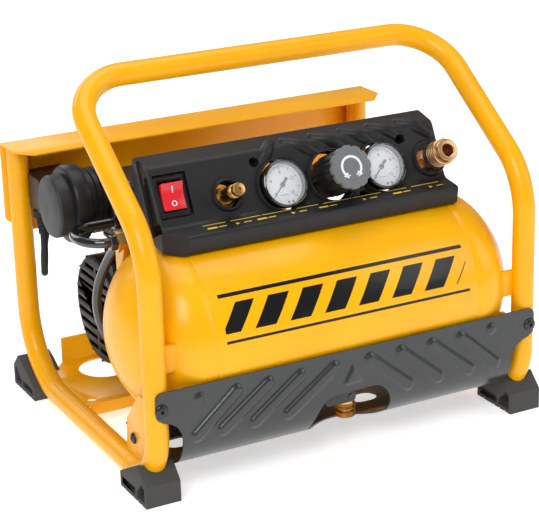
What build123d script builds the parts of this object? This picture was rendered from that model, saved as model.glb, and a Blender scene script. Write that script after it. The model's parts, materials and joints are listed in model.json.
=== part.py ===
from build123d import *
import math
import os

# Roll-cage air compressor, in millimetres.  x runs along the tank, y runs back from the
# front legs' axis, z runs up from the floor.  The parts are written with y measured from
# the middle of the depth instead (see MID_Y), so the origin is under the object's middle.

# ---- frame tubes ---------------------------------------------------------------------
TUBE_D = 19.0
TUBE_WALL = 1.5
LEG_SPAN = 342.0          # between the two front legs' axes
RAIL_Z = 12.0             # axis height of the bottom runs
KNEE_Z = 207.6            # where the front legs start to lean back
BAR_Y = 141.3             # the carrying bar, back from the legs
BAR_Z = 307.8
POST_Y = 274.7            # the rear posts' axis
TAIL_Y = 50.0             # where the hoop's foot bends end and the side rails start
FOOT_BEND_R = 45.0
KNEE_R = 64.0
CORNER_R = 46.0
REAR_BEND_R = 65.0

# ---- sheet parts ---------------------------------------------------------------------
SHEET = 2.0
PANEL_OVERHANG = 11.5        # past the legs' axes
PANEL_TOP_Z = 225.5
PANEL_BOTTOM_Z = 142.0
PANEL_FLANGE = 51.4       # depth of the folded top
PANEL_CORNER = 14.0       # chamfers
BASE_Z = 17.5
BASE_FRONT_Y = 160.0
BASE_BACK_Y = 262.0
BASE_UPSTAND = 25.5
BASE_DOWNSTAND = 8.5
BASE_CORNER = 14.0
BASE_HOLE_X = 112.0
BASE_HOLE_Y = 232.0
BASE_HOLE_R = 24.0
BASE_HOLE_STRETCH = 12.0
GUSSET_T = 3.0
GUSSET_TOP_Z = 80.0
GUSSET_BACK_Y = 58.0
GUSSET_BOLT_Y = 42.5
GUSSET_BOLT_Z = 38.0

# ---- tank ----------------------------------------------------------------------------
TANK_R = 73.0
TANK_Y = 63.5
TANK_Z = 113.0
TANK_TIP = 178.0          # half of the overall length
TANK_WALL = 2.0
KNUCKLE_SHARE = 0.5       # knuckle radius over tank radius
CROWN_SHARE = 1.2         # crown radius over tank radius
BRACKET_T = 4.0
BRACKET_REACH = 31.0         # how far inside the tank's tips the brackets end

# ---- front guard ---------------------------------------------------------------------
GUARD_T = 1.5
GUARD_TOP_Z = 96.0
GUARD_TAB_Z = 72.0        # lower edge of the two end tabs
GUARD_INSET = 17.0           # the guard's ends stop inside the legs' axes
GUARD_TAB_OVERHANG = 4.5     # its tabs reach past them
GUARD_BEND_R = 34.0
GUARD_BOTTOM_Z = 22.0
GUARD_BACK_Y = 104.0
GUARD_LIP = 14.0
GUARD_SCREW_Z = 81.5
EAR_Y = 47.0              # the end straps, over the rails
EAR_TOP_Z = 46.0
RIB_PITCH = 29.3
RIB_W = 9.0
RIB_H = 2.0
WINDOW_HALF_W = 36.0
WINDOW_TOP_Z = 60.0
WINDOW_BACK_Y = 30.0
SCREW_D = 5.0
SCREW_HEAD_D = 11.0
SCREW_HEAD_H = 2.5

# ---- feet ----------------------------------------------------------------------------
FOOT_W = 30.0
FOOT_FRONT_Y = -7.0
FOOT_LEN = 50.0
FOOT_FACE_H = 18.0
FOOT_PEAK_H = 31.0
FOOT_TAIL_H = 13.0
FOOT_WINDOW_DEPTH = 4.0
FOOT_SCREW_D = 4.0
FOOT_SCREW_Y = 34.0

# ---- control panel -------------------------------------------------------------------
FACE_TILT = 26.0          # degrees the instrument face leans back
FACE_Y = 55.0             # lower edge of the instrument face
FACE_Z = 202.0
FACE_LEN = 49.0
LEDGE_DEPTH = 21.0
LEDGE_DROP = 3.0
APRON_H = 16.0
CREST_DEPTH = 22.5
CREST_RISE = 5.5
HOUSING_X0 = -138.0
HOUSING_X1 = 129.0
HOUSING_WALL = 2.5
HOUSING_CORNER = 20.0
CENTRE_S = 18.0           # height of the instruments' centres up the face
PITCH = 46.6              # between neighbouring instruments
KNOB_X = 24.1
VALVE_X = -72.0
COUPLER_X = KNOB_X + 2 * PITCH
SWITCH_X = -118.0
SWITCH_S = 29.0
COLLAR_H = 3.0
COLLAR_W = 2.0
SCREW_WELLS = [(-43.2, 40.0), (92.9, 38.0), (47.4, -3.0)]
WELL_D = 8.0
WELL_DEPTH = 10.0
PLATE_H = -WELL_DEPTH - HOUSING_WALL   # front of the mounting plate, behind the face
TANK_GAP = 1.5

# ---- instruments and fittings --------------------------------------------------------
GAUGE_D = 40.0
GAUGE_DEPTH = 24.0
GAUGE_PROUD = 8.0
GAUGE_WALL = 2.0
GAUGE_POCKET = 9.0
DIAL_T = 1.0
LENS_T = 1.2
NEEDLE_T = 0.6
NEEDLE_LEN = 13.5
NEEDLE_TAIL = 7.0
SPINDLE_R = 0.8
INSTRUMENT_GAP = 1.0      # hole in the housing round each instrument
KNOB_D = 35.0
KNOB_PROUD = 31.0
KNOB_CAP_H = 4.5
KNOB_LOBES = 12
BONNET_D = 26.0
SWITCH_W = 26.5
SWITCH_L = 34.0
SWITCH_DEPTH = 20.0
SWITCH_RIM = 2.5
SWITCH_SINK = 3.0
ROCKER_REST = 8.0         # tilt of the rocker when off, in degrees
ROCKER_H = -2.5           # its pivot, from the face
ROCKER_PIN_R = 1.2
MANIFOLD_H = -36.0
MANIFOLD_R = 8.0
PORT_R = 5.0
STANDPIPE_X = -48.0
VALVE_D = 11.0
VALVE_TIP = 24.0
COUPLER_D = 22.0
COUPLER_TIP = 33.0
SOCKET_R = 5.2
SOCKET_DEPTH = 22.0
SLEEVE_TRAVEL = 3.0
RUN_FIT = 0.05            # radial clearance of a turning or sliding fit
MOVE_GAP = 0.4            # between a moving piece and what it passes

# ---- drain tap -----------------------------------------------------------------------
DRAIN_X = 8.0
DRAIN_Y = 20.0
DRAIN_R = 8.0
DRAIN_RING = 0.8
DRAIN_RING_H = 5.5
DRAIN_BORE_R = 2.2
DRAIN_BOTTOM_Z = 24.5
PLUG_R_IN = 4.5           # the tap's turning plug
LEVER_Z = 45.0
LEVER_LEN = 20.0
LEVER_W = 9.0
LEVER_T = 1.6

# ---- pump and motor ------------------------------------------------------------------
SHAFT_Y = 190.0
SHAFT_Z = 92.0
SHAFT_R = 6.0
CYL_X = -92.0
STROKE = 12.0
BORE_R = 22.0
CASE_R = 47.0
CASE_HALF = 28.0
CASE_WALL = 4.0
HEAD_Z = 166.0
HEAD_H = 40.0
HEAD_HALF = 30.0
HEAD_X0 = -132.0
HEAD_X1 = -60.0
CAN_R = 53.0
CAN_X0 = -64.0
CAN_X1 = 44.0
CORE_R = 25.0
CORE_HALF = 34.0
AIR_GAP = 0.8
BEARING_R = 15.0
BEARING_W = 9.0
FAN_R = 42.0
FAN_X0 = -135.0
FAN_W = 12.0
COVER_R = 48.0
COVER_X0 = -139.0
COVER_WALL = 2.5
MOUNT_D = 18.0
MOTOR_FOOT_Z = 33.5
FILTER_Y = 185.0
FILTER_Z = 193.0
FILTER_CAP_R = 26.5
FILTER_COLLAR_R = 33.0
FILTER_BODY_R = 28.0
FILTER_X0 = -178.0
FILTER_COLLAR_X0 = -165.0
FILTER_COLLAR_X1 = -150.0
PIPE_R = 4.0
PIPE_Z = 183.0
PIPE_BACK_Y = 148.0
CHECK_X = -148.0
CHECK_Y = 100.0
CHECK_HALF = 7.0
PIPE_LOOP_X = -179.0

# ---- cord ----------------------------------------------------------------------------
CORD_D = 6.2
BOX_X0 = -168.0
BOX_X1 = -128.0
BOX_Y0 = 231.0
BOX_Y1 = 261.0
BOX_Z0 = 172.0
BOX_Z1 = 202.0
GLAND_X = -162.0
GLAND_Y = 246.0
GLAND_LEN = 22.0
COIL_X = 42.0
COIL_Y = 345.0
COIL_MID_R = 34.0
COIL_ROWS = 4
COIL_COLUMNS = 2
TIE_W = 8.0
TIE_T = 1.6
TIE_GAP = 0.3
CLIP_X = -106.0
CLIP_OUT = 9.5               # the clip's middle, behind the rear panel
CLIP_Z = 174.6
CLIP_WALL = 2.0
CLIP_GAP = 2.0
PLUG_X = 94.0
PLUG_Y = 309.0
PLUG_R = 17.0
PLUG_LEN = 44.0

TUBE_R = TUBE_D / 2
LEG_X = LEG_SPAN / 2
PANEL_HALF_W = LEG_X + PANEL_OVERHANG
GUARD_HALF_W = LEG_X - GUARD_INSET
GUARD_TAB_HALF_W = LEG_X + GUARD_TAB_OVERHANG
PANEL_FACE_Y = POST_Y + TUBE_R
PANEL_BACK_Y = PANEL_FACE_Y + SHEET
GUARD_FACE_Y = -TUBE_R - GUARD_T
FRONT_Y = GUARD_FACE_Y - SCREW_HEAD_H
CLIP_Y = PANEL_BACK_Y + CLIP_OUT
CLIP_BACK_Y = CLIP_Y + CORD_D / 2 + CLIP_GAP + CLIP_WALL
MID_Y = (FRONT_Y + CLIP_BACK_Y) / 2

TILT = math.radians(FACE_TILT)
FACE = Plane(origin=(0, FACE_Y, FACE_Z), x_dir=(1, 0, 0), z_dir=(0, -math.cos(TILT), math.sin(TILT)))
SIDE = Plane(origin=(0, 0, 0), x_dir=(0, 1, 0), z_dir=(1, 0, 0))   # local x is y, local y is z
FRONT = Plane(origin=(0, 0, 0), x_dir=(1, 0, 0), z_dir=(0, -1, 0))  # local x is x, local y is z

BOTTOM_ALIGN = (Align.CENTER, Align.CENTER, Align.MIN)


def box(x0, x1, y0, y1, z0, z1):
    """A box between two corners."""
    return Pos((x0 + x1) / 2, (y0 + y1) / 2, (z0 + z1) / 2) * Box(x1 - x0, y1 - y0, z1 - z0)


def facing_front(x, y, z):
    """A plane at a point, facing forwards."""
    return Plane(origin=(x, y, z), x_dir=(1, 0, 0), z_dir=(0, -1, 0))


def rod(plane, x, y, z0, z1, r):
    """A cylinder standing on a plane's local point, from one local height to another."""
    return plane * Pos(x, y, z0) * Cylinder(r, z1 - z0, align=BOTTOM_ALIGN)


def ring(plane, x, y, z0, z1, r_out, r_in):
    """A tube standing on a plane's local point."""
    return rod(plane, x, y, z0, z1, r_out) - rod(plane, x, y, z0 - 1, z1 + 1, r_in)


def along_x(y, z, x0, x1, r):
    """A cylinder along x."""
    return rod(SIDE, y, z, x0, x1, r)


def side_slab(points, x0, x1):
    """An outline in y and z, given thickness in x."""
    return SIDE * Pos(0, 0, x0) * extrude(make_face(Polyline(*points, close=True)), x1 - x0)


def front_slab(points, y_front, thickness):
    """An outline in x and z, given thickness back from its front face."""
    face = make_face(Polyline(*points, close=True))
    return FRONT * Pos(0, 0, -y_front - thickness) * extrude(face, thickness)


def flat_slab(points, z0, thickness):
    """An outline in x and y, given thickness in z."""
    return Pos(0, 0, z0) * extrude(make_face(Polyline(*points, close=True)), thickness)


def swept(path, r):
    """A round bar along a path."""
    start = Plane(origin=path @ 0, z_dir=path % 0)
    return sweep(start * Circle(r), path=path)


def mirrored(shape):
    """The same shape on the other side of the middle."""
    return mirror(shape, about=Plane.YZ)


def save(name, shape):
    """Write one piece, moved so that y is measured from the middle of the depth."""
    export_step(Pos(0, -MID_Y, 0) * shape, f"parts/{name}.step")


# ---- frame ---------------------------------------------------------------------------

def hoop_bar(r):
    points = [
        (-LEG_X, TAIL_Y, RAIL_Z),
        (-LEG_X, 0, RAIL_Z),
        (-LEG_X, 0, KNEE_Z),
        (-LEG_X, BAR_Y, BAR_Z),
        (LEG_X, BAR_Y, BAR_Z),
        (LEG_X, 0, KNEE_Z),
        (LEG_X, 0, RAIL_Z),
        (LEG_X, TAIL_Y, RAIL_Z),
    ]
    radii = [FOOT_BEND_R, KNEE_R, CORNER_R, CORNER_R, KNEE_R, FOOT_BEND_R]
    return swept(FilletPolyline(*points, radius=radii), r)


def rail_bar(r):
    top = PANEL_TOP_Z - SHEET
    points = [(-LEG_X, TAIL_Y, RAIL_Z), (-LEG_X, POST_Y, RAIL_Z), (-LEG_X, POST_Y, top)]
    return swept(FilletPolyline(*points, radius=REAR_BEND_R), r)


HOOP = hoop_bar(TUBE_R)
RAIL = rail_bar(TUBE_R)


def screw_hole(y_start, z, r):
    """A hole from the front into each leg."""
    left = rod(FRONT, -LEG_X, z, -y_start, TUBE_R + GUARD_T + 1, r)
    return left + mirrored(left)


def foot_screw_holes(r):
    """Holes up into the bottom of the tubes at all four feet."""
    holes = [Pos(-LEG_X, y, -1) * Cylinder(r, rail_height(y) + 1, align=BOTTOM_ALIGN) for y in foot_screw_ys()]
    return holes + [mirrored(hole) for hole in holes]


def rail_height(y):
    """Height of a rail's axis, where it is level or bending up to the rear post."""
    run = max(0.0, y - (POST_Y - REAR_BEND_R))
    return RAIL_Z + REAR_BEND_R - math.sqrt(REAR_BEND_R ** 2 - run ** 2)


def foot_screw_ys():
    return [FOOT_SCREW_Y, PANEL_FACE_Y - FOOT_FRONT_Y - TUBE_R - FOOT_SCREW_Y]


def front_hoop():
    hoop = HOOP - hoop_bar(TUBE_R - TUBE_WALL)
    hoop -= screw_hole(0, GUARD_SCREW_Z, SCREW_D / 2)
    return hoop - foot_screw_holes(FOOT_SCREW_D / 2)


def side_rail():
    rail = RAIL - rail_bar(TUBE_R - TUBE_WALL)
    return rail - foot_screw_holes(FOOT_SCREW_D / 2)


def rear_panel():
    w, c = PANEL_HALF_W, PANEL_CORNER
    face = [(-w, PANEL_TOP_Z), (-w, PANEL_BOTTOM_Z + c), (-w + c, PANEL_BOTTOM_Z)]
    face += [(-x, z) for x, z in reversed(face)]
    front = PANEL_BACK_Y - PANEL_FLANGE
    top = [(-w, PANEL_BACK_Y), (-w, front + c + 4), (-w + c, front)]
    top += [(-x, y) for x, y in reversed(top)]
    sheet = front_slab(face, PANEL_FACE_Y, SHEET) + flat_slab(top, PANEL_TOP_Z - SHEET, SHEET)
    crease = sheet.edges().filter_by(Axis.X).sort_by(Axis.Z)[-2:].sort_by(Axis.Y)[-1]
    return fillet(crease, SHEET)


def base_blank():
    """The folded sheet, notched round the rails."""
    x, c = LEG_X, BASE_CORNER
    edge = LEG_X - TUBE_R
    outline = [(-x, BASE_FRONT_Y), (-x, BASE_BACK_Y - c), (-edge + 2, BASE_BACK_Y - c), (-edge + c, BASE_BACK_Y)]
    outline += [(-px, py) for px, py in reversed(outline)]
    plate = flat_slab(outline, BASE_Z, SHEET)
    plate += box(-edge + c, edge - c, BASE_BACK_Y - SHEET, BASE_BACK_Y, BASE_Z, BASE_Z + BASE_UPSTAND)
    plate += box(-edge, edge, BASE_FRONT_Y, BASE_FRONT_Y + SHEET, BASE_Z - BASE_DOWNSTAND, BASE_Z + SHEET)
    return plate - RAIL - mirrored(RAIL)


BASE_BLANK = base_blank()


def base_plate():
    plate = BASE_BLANK
    edge = LEG_X - TUBE_R
    hole = extrude(SlotCenterToCenter(BASE_HOLE_STRETCH, 2 * BASE_HOLE_R), 3 * SHEET)
    notch = Pos(0, BASE_FRONT_Y + 11, 0) * Cylinder(4.5, 2 * BASE_Z + 10)
    for side in (-1, 1):
        plate -= Pos(side * BASE_HOLE_X, BASE_HOLE_Y, BASE_Z - SHEET) * hole
        plate -= Pos(side * (edge - 5), 0, 0) * notch
    for mx, my in mount_places():
        plate -= Pos(mx, my, BASE_Z + 1) * Cylinder(3, 3 * SHEET)
    return plate


def tank_profile(r, tip):
    """Half of the tank's outline: axis, crown arc, knuckle arc, wall."""
    knuckle, crown = KNUCKLE_SHARE * TANK_R - (TANK_R - r), CROWN_SHARE * TANK_R - (TANK_R - r)
    meet = math.asin((r - knuckle) / (crown - knuckle))
    crown_x = tip - crown
    knuckle_x = crown_x + (crown - knuckle) * math.cos(meet)
    join = (crown_x + crown * math.cos(meet), crown * math.sin(meet))
    crown_mid = (crown_x + crown * math.cos(meet / 2), crown * math.sin(meet / 2))
    turn = (math.pi / 2 + meet) / 2
    knuckle_mid = (knuckle_x + knuckle * math.cos(turn), r - knuckle + knuckle * math.sin(turn))
    outline = Line((0, 0), (tip, 0)) + ThreePointArc((tip, 0), crown_mid, join)
    outline += ThreePointArc(join, knuckle_mid, (knuckle_x, r))
    outline += Line((knuckle_x, r), (0, r)) + Line((0, r), (0, 0))
    return make_face(outline)


def tank_body(r, tip):
    half = Pos(0, TANK_Y, TANK_Z) * revolve(tank_profile(r, tip), Axis.X)
    return half + mirrored(half)


TANK = tank_body(TANK_R, TANK_TIP)
TANK_INSIDE = tank_body(TANK_R - TANK_WALL, TANK_TIP - TANK_WALL)


def tank_surface_z(y, top=True):
    rise = math.sqrt(TANK_R ** 2 - (y - TANK_Y) ** 2)
    return TANK_Z + rise if top else TANK_Z - rise


def manifold_centre():
    return FACE.from_local_coords((0, CENTRE_S, MANIFOLD_H))


def air_tank():
    """Shell with three bungs: for the standpipe, the check valve and the drain."""
    pipe_y = manifold_centre().Y
    places = [(STANDPIPE_X, pipe_y, True), (CHECK_X, CHECK_Y, True), (DRAIN_X, DRAIN_Y, False)]
    shell = TANK - TANK_INSIDE
    for x, y, top in places:
        z = tank_surface_z(y, top)
        shell -= Pos(x, y, z) * Cylinder(PORT_R, 24)
    return shell


def tank_bracket():
    tab = box(-LEG_X, BRACKET_REACH - TANK_TIP, -BRACKET_T / 2 + 3, BRACKET_T / 2 + 3, 106, 128)
    return tab - HOOP - TANK


def foot_outline():
    return [
        (0, 0),
        (0, FOOT_FACE_H),
        (13, FOOT_PEAK_H),
        (24, FOOT_PEAK_H - 4),
        (FOOT_LEN, FOOT_TAIL_H),
        (FOOT_LEN, 0),
    ]


def foot(front):
    """Wedge with a cradle for the tube, hollows in both cheeks and a ribbed sole."""
    def place(y):
        return FOOT_FRONT_Y + y if front else PANEL_FACE_Y - y

    half = FOOT_W / 2
    body = side_slab([(place(y), z) for y, z in foot_outline()], -LEG_X - half, -LEG_X + half)
    hollow = side_slab([(place(y), z) for y, z in [(3, 3.5), (3, 15), (7, 19), (18, 8), (18, 3.5)]], 0, FOOT_W + 2)
    pocket = side_slab([(place(y), z) for y, z in [(21, 3.5), (21, 10), (46, 9.5), (46, 3.5)]], 0, FOOT_WINDOW_DEPTH)
    body -= Pos(-LEG_X - half - 1, 0, 0) * hollow
    body -= Pos(-LEG_X - half, 0, 0) * pocket
    body -= Pos(-LEG_X + half - FOOT_WINDOW_DEPTH, 0, 0) * pocket
    groove = box(-LEG_X - half, -LEG_X + half, -1, 1, 0, 1)
    for y in (9, 17, 25, 41):
        body -= Pos(0, place(y), 0) * groove
    screw_y = foot_screw_ys()[0 if front else 1]
    body -= Pos(-LEG_X, screw_y, 0) * Cylinder(FOOT_SCREW_D / 2, 2 * rail_height(screw_y))
    body -= Pos(-LEG_X, screw_y, 0) * Cylinder(4, 2, align=BOTTOM_ALIGN)
    return body - HOOP - RAIL - (BASE_BLANK if not front else Part())


def foot_screws():
    screws = []
    for y in foot_screw_ys():
        shank = Pos(-LEG_X, y, 1) * Cylinder(FOOT_SCREW_D / 2, rail_height(y) - 3, align=BOTTOM_ALIGN)
        head = Pos(-LEG_X, y, 0.4) * Cylinder(4, 1.6, align=BOTTOM_ALIGN)
        screws.append(head + shank)
    return Compound(screws + [mirrored(screw) for screw in screws])


def gusset():
    outline = [
        (0, GUSSET_TOP_Z),
        (30, GUSSET_TOP_Z),
        (GUSSET_BACK_Y - 3, 51),
        (GUSSET_BACK_Y, 30),
        (GUSSET_BACK_Y, RAIL_Z),
        (0, RAIL_Z),
    ]
    plate = side_slab(outline, -LEG_X - GUSSET_T / 2, -LEG_X + GUSSET_T / 2)
    plate -= along_x(GUSSET_BOLT_Y, GUSSET_BOLT_Z, -LEG_X - GUSSET_T, -LEG_X + GUSSET_T, SCREW_D / 2)
    plate -= side_slab([(FOOT_FRONT_Y + y, z) for y, z in foot_outline()], -LEG_X - GUSSET_T, -LEG_X + GUSSET_T)
    return (plate - HOOP - RAIL).solids().sort_by(SortBy.VOLUME)[-1]


def guard_skin(y_front, thickness, x0, x1):
    """The bent sheet: upright face, bend, floor and rear lip."""
    r, t = GUARD_BEND_R, thickness
    bend_y, bend_z = y_front + r, GUARD_BOTTOM_Z + r
    slant = math.sqrt(0.5)
    outline = Line((y_front, GUARD_TOP_Z), (y_front, bend_z))
    outline += ThreePointArc((y_front, bend_z), (bend_y - r * slant, bend_z - r * slant), (bend_y, GUARD_BOTTOM_Z))
    back, lip = GUARD_BACK_Y, GUARD_BOTTOM_Z + GUARD_LIP
    outline += Polyline((bend_y, GUARD_BOTTOM_Z), (back, GUARD_BOTTOM_Z), (back, lip), (back - t, lip))
    outline += Polyline((back - t, lip), (back - t, GUARD_BOTTOM_Z + t), (bend_y, GUARD_BOTTOM_Z + t))
    inner = r - t
    mid = (bend_y - inner * slant, bend_z - inner * slant)
    outline += ThreePointArc((bend_y, GUARD_BOTTOM_Z + t), mid, (y_front + t, bend_z))
    outline += Polyline((y_front + t, bend_z), (y_front + t, GUARD_TOP_Z), (y_front, GUARD_TOP_Z))
    return SIDE * Pos(0, 0, x0) * extrude(make_face(outline), x1 - x0)


def guard_rib(x, z, lean):
    """One pressed bar, leaning left or right."""
    length = 50
    bar = extrude(SlotOverall(length, RIB_W), RIB_H)
    bar = fillet(bar.faces().sort_by(Axis.Z)[-1].edges(), RIB_H * 0.6)
    return facing_front(x, GUARD_FACE_Y, z) * Rot(0, 0, lean) * bar


def front_guard():
    skin = guard_skin(GUARD_FACE_Y, GUARD_T, -GUARD_TAB_HALF_W, GUARD_TAB_HALF_W)
    for side in (-1, 1):
        inner, outer = GUARD_HALF_W, GUARD_TAB_HALF_W + 1
        x0, x1 = sorted((side * inner, side * outer))
        skin -= box(x0, x1, GUARD_FACE_Y - 1, GUARD_BACK_Y + 1, 0, GUARD_TAB_Z)
        skin += Pos(side * (inner + 6), 0, 0) * front_slab(
            [(-side * 6, GUARD_TAB_Z), (side * 6, GUARD_TAB_Z), (-side * 6, GUARD_TAB_Z - 12)], GUARD_FACE_Y, GUARD_T
        )
        slot = extrude(SlotOverall(SCREW_D + 4, SCREW_D + 0.6), 3 * GUARD_T)
        skin -= facing_front(side * LEG_X, GUARD_FACE_Y + GUARD_T + 1, GUARD_SCREW_Z) * Rot(0, 0, 60) * slot
        for hole_x in (40, 132):
            oval = extrude(SlotOverall(26, 18), 3 * GUARD_T)
            skin -= Pos(side * hole_x, 46, GUARD_BOTTOM_Z - GUARD_T) * oval
        ear_x = side * (LEG_X - GUSSET_T / 2)
        a0, a1 = sorted((side * (inner - 1), ear_x))
        skin += box(a0, a1, EAR_Y, EAR_Y + 11, GUARD_BOTTOM_Z, GUARD_BOTTOM_Z + GUARD_T)
        e0, e1 = sorted((ear_x - side * GUARD_T, ear_x))
        ear = [(EAR_Y, GUARD_BOTTOM_Z), (EAR_Y + 11, GUARD_BOTTOM_Z), (EAR_Y + 11, EAR_TOP_Z)]
        ear += [(EAR_Y - 11, EAR_TOP_Z), (EAR_Y - 11, GUARD_BOTTOM_Z + 7)]
        skin += side_slab(ear, e0, e1)
        h0, h1 = sorted((ear_x - side * 4, ear_x + side * 1))
        skin -= along_x(GUSSET_BOLT_Y, GUSSET_BOLT_Z, h0, h1, SCREW_D / 2)
    window = box(-WINDOW_HALF_W, WINDOW_HALF_W, GUARD_FACE_Y - 1, WINDOW_BACK_Y, 0, WINDOW_TOP_Z)
    skin -= fillet(window.edges().filter_by(Axis.Y), 9)
    for i in range(4):
        x = 38 + i * RIB_PITCH
        skin += guard_rib(-x, 68, 48)
        skin += guard_rib(x, 68, -48)
    return skin


def guard_screws():
    """Two dome-head screws in the legs and two in the gussets."""
    front = rod(FRONT, -LEG_X, GUARD_SCREW_Z, TUBE_R - 6, TUBE_R + GUARD_T, SCREW_D / 2)
    dome = rod(FRONT, -LEG_X, GUARD_SCREW_Z, -GUARD_FACE_Y, -GUARD_FACE_Y + SCREW_HEAD_H, SCREW_HEAD_D / 2)
    front += fillet(dome.edges().sort_by(Axis.Y)[0], SCREW_HEAD_H * 0.7)
    side_x = -LEG_X - GUSSET_T / 2
    side = along_x(GUSSET_BOLT_Y, GUSSET_BOLT_Z, side_x, side_x + 12, SCREW_D / 2)
    cap = along_x(GUSSET_BOLT_Y, GUSSET_BOLT_Z, side_x - SCREW_HEAD_H, side_x, SCREW_HEAD_D / 2 - 1)
    side += fillet(cap.edges().sort_by(Axis.X)[0], SCREW_HEAD_H * 0.7)
    nut_x = side_x + GUSSET_T + GUARD_T
    side += along_x(GUSSET_BOLT_Y, GUSSET_BOLT_Z, nut_x, nut_x + 4, 4.5)
    return Compound([front, side, mirrored(front), mirrored(side)])


# ---- control panel -------------------------------------------------------------------

def housing_outline():
    face_top_y = FACE_Y + FACE_LEN * math.sin(TILT)
    face_top_z = FACE_Z + FACE_LEN * math.cos(TILT)
    lip_z = FACE_Z - LEDGE_DROP
    return [
        (FACE_Y - LEDGE_DEPTH + 2.5, lip_z - APRON_H),
        (FACE_Y - LEDGE_DEPTH, lip_z),
        (FACE_Y, FACE_Z),
        (face_top_y, face_top_z),
        (face_top_y + CREST_DEPTH, face_top_z + CREST_RISE),
        (face_top_y + CREST_DEPTH, lip_z - APRON_H),
    ]


def housing_block(inset):
    """The closed wedge that the housing is cut from, or its hollow when inset is the wall."""
    outline = make_face(Polyline(*housing_outline(), close=True))
    if inset:
        outline = offset(outline, -inset, kind=Kind.INTERSECTION)
    x0, x1 = HOUSING_X0 + inset, HOUSING_X1 - inset
    block = SIDE * Pos(0, 0, x0) * extrude(outline, x1 - x0)
    reach = HOUSING_CORNER - inset
    front_y = FACE_Y - LEDGE_DEPTH + inset
    corner = flat_slab([(x0 - 1, front_y + reach), (x0 - 1, front_y - 3), (x0 + reach, front_y - 3)], 150, 52)
    return block - corner


def face_hole(x, r, depth=12.0):
    return rod(FACE, x, CENTRE_S, -depth, COLLAR_H + 1, r)


def instrument_holes():
    """Every round instrument's place and its hole's radius."""
    gauge = GAUGE_D / 2 + INSTRUMENT_GAP
    return [
        (VALVE_X, VALVE_D),
        (KNOB_X - PITCH, gauge),
        (KNOB_X, gauge),
        (KNOB_X + PITCH, gauge),
        (COUPLER_X, COUPLER_D / 2 + 2),
    ]


def panel_housing():
    shell = housing_block(0)
    ridge = shell.edges().filter_by(Axis.X).sort_by(Axis.Z)
    shell = fillet(ridge[-2:], 5)
    hollow = housing_block(HOUSING_WALL)
    hollow += [Pos(0, back, -down) * hollow for back, down in [(8, 0), (0, 8), (8, 8)]]
    for x, r in instrument_holes():
        shell += rod(FACE, x, CENTRE_S, 0, COLLAR_H, r + COLLAR_W)
    shell -= hollow
    for x, s in SCREW_WELLS:
        shell += rod(FACE, x, s, -WELL_DEPTH - HOUSING_WALL, -HOUSING_WALL / 2, WELL_D / 2 + 2) & housing_block(0)
    pocket_floor = -SWITCH_SINK - SHEET - HOUSING_WALL
    half_w, half_l = SWITCH_W / 2 + 2, SWITCH_L / 2 + 2
    well = Pos(SWITCH_X, SWITCH_S - 4, pocket_floor) * Box(2 * half_w, 2 * half_l, -pocket_floor, align=BOTTOM_ALIGN)
    shell += FACE * well & housing_block(0)
    pocket = Box(SWITCH_W + 1, SWITCH_L + 1, 20, align=BOTTOM_ALIGN)
    shell -= FACE * Pos(SWITCH_X, SWITCH_S - 4, pocket_floor + HOUSING_WALL) * pocket
    body = Box(SWITCH_W - 4, SWITCH_L - 4, 30)
    shell -= FACE * Pos(SWITCH_X, SWITCH_S - 4, 0) * body
    for x, r in instrument_holes():
        shell -= face_hole(x, r)
    for x, s in SCREW_WELLS:
        shell -= rod(FACE, x, s, -WELL_DEPTH, 8, WELL_D / 2)
        shell -= rod(FACE, x, s, -WELL_DEPTH - 8, 8, SCREW_D / 2)
    envelope = along_x(TANK_Y, TANK_Z, HOUSING_X0 - 1, HOUSING_X1 + 1, TANK_R + TANK_GAP)
    return (shell - envelope).solids().sort_by(SortBy.VOLUME)[-1]


def panel_screws():
    screws = []
    for x, s in SCREW_WELLS:
        head = rod(FACE, x, s, -WELL_DEPTH, -WELL_DEPTH + 2.5, WELL_D / 2 - 0.3)
        screws.append(head + rod(FACE, x, s, PLATE_H - 6, -WELL_DEPTH, SCREW_D / 2))
    return Compound(screws)


def mounting_plate():
    """Plate behind the face, welded to the top of the tank, with holes for the instruments."""
    x0, x1 = VALVE_X - 22, COUPLER_X - 20
    plate = FACE * Pos((x0 + x1) / 2, 12, PLATE_H - SHEET) * Box(x1 - x0, 66, SHEET, align=BOTTOM_ALIGN)
    for x, r in instrument_holes():
        plate -= rod(FACE, x, CENTRE_S, PLATE_H - 6, PLATE_H + 2, r)
    for x, s in SCREW_WELLS:
        plate -= rod(FACE, x, s, PLATE_H - 6, PLATE_H + 2, SCREW_D / 2)
    return (plate - TANK).solids().sort_by(SortBy.VOLUME)[-1]


def switch_frame():
    floor = -SWITCH_SINK - SHEET
    rim = Pos(0, 0, floor) * Box(SWITCH_W, SWITCH_L, SHEET + 1, align=BOTTOM_ALIGN)
    rim = fillet(rim.faces().sort_by(Axis.Z)[-1].edges(), 0.8)
    rim += Pos(0, 0, floor - SWITCH_DEPTH) * Box(SWITCH_W - 4, SWITCH_L - 4, SWITCH_DEPTH, align=BOTTOM_ALIGN)
    cavity = Pos(0, 0, floor - 9) * Box(rocker_width() + 2 * MOVE_GAP, rocker_length() + 4, 20, align=BOTTOM_ALIGN)
    pivot = Pos(0, 0, ROCKER_H) * Rot(0, 90, 0) * Cylinder(ROCKER_PIN_R + RUN_FIT, rocker_width() + 3)
    return FACE * Pos(SWITCH_X, SWITCH_S - 4, 0) * (rim - cavity - pivot)


def rocker_width():
    return SWITCH_W - 2 * SWITCH_RIM - 2.5


def rocker_length():
    return SWITCH_L - 2 * SWITCH_RIM - 7


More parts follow.
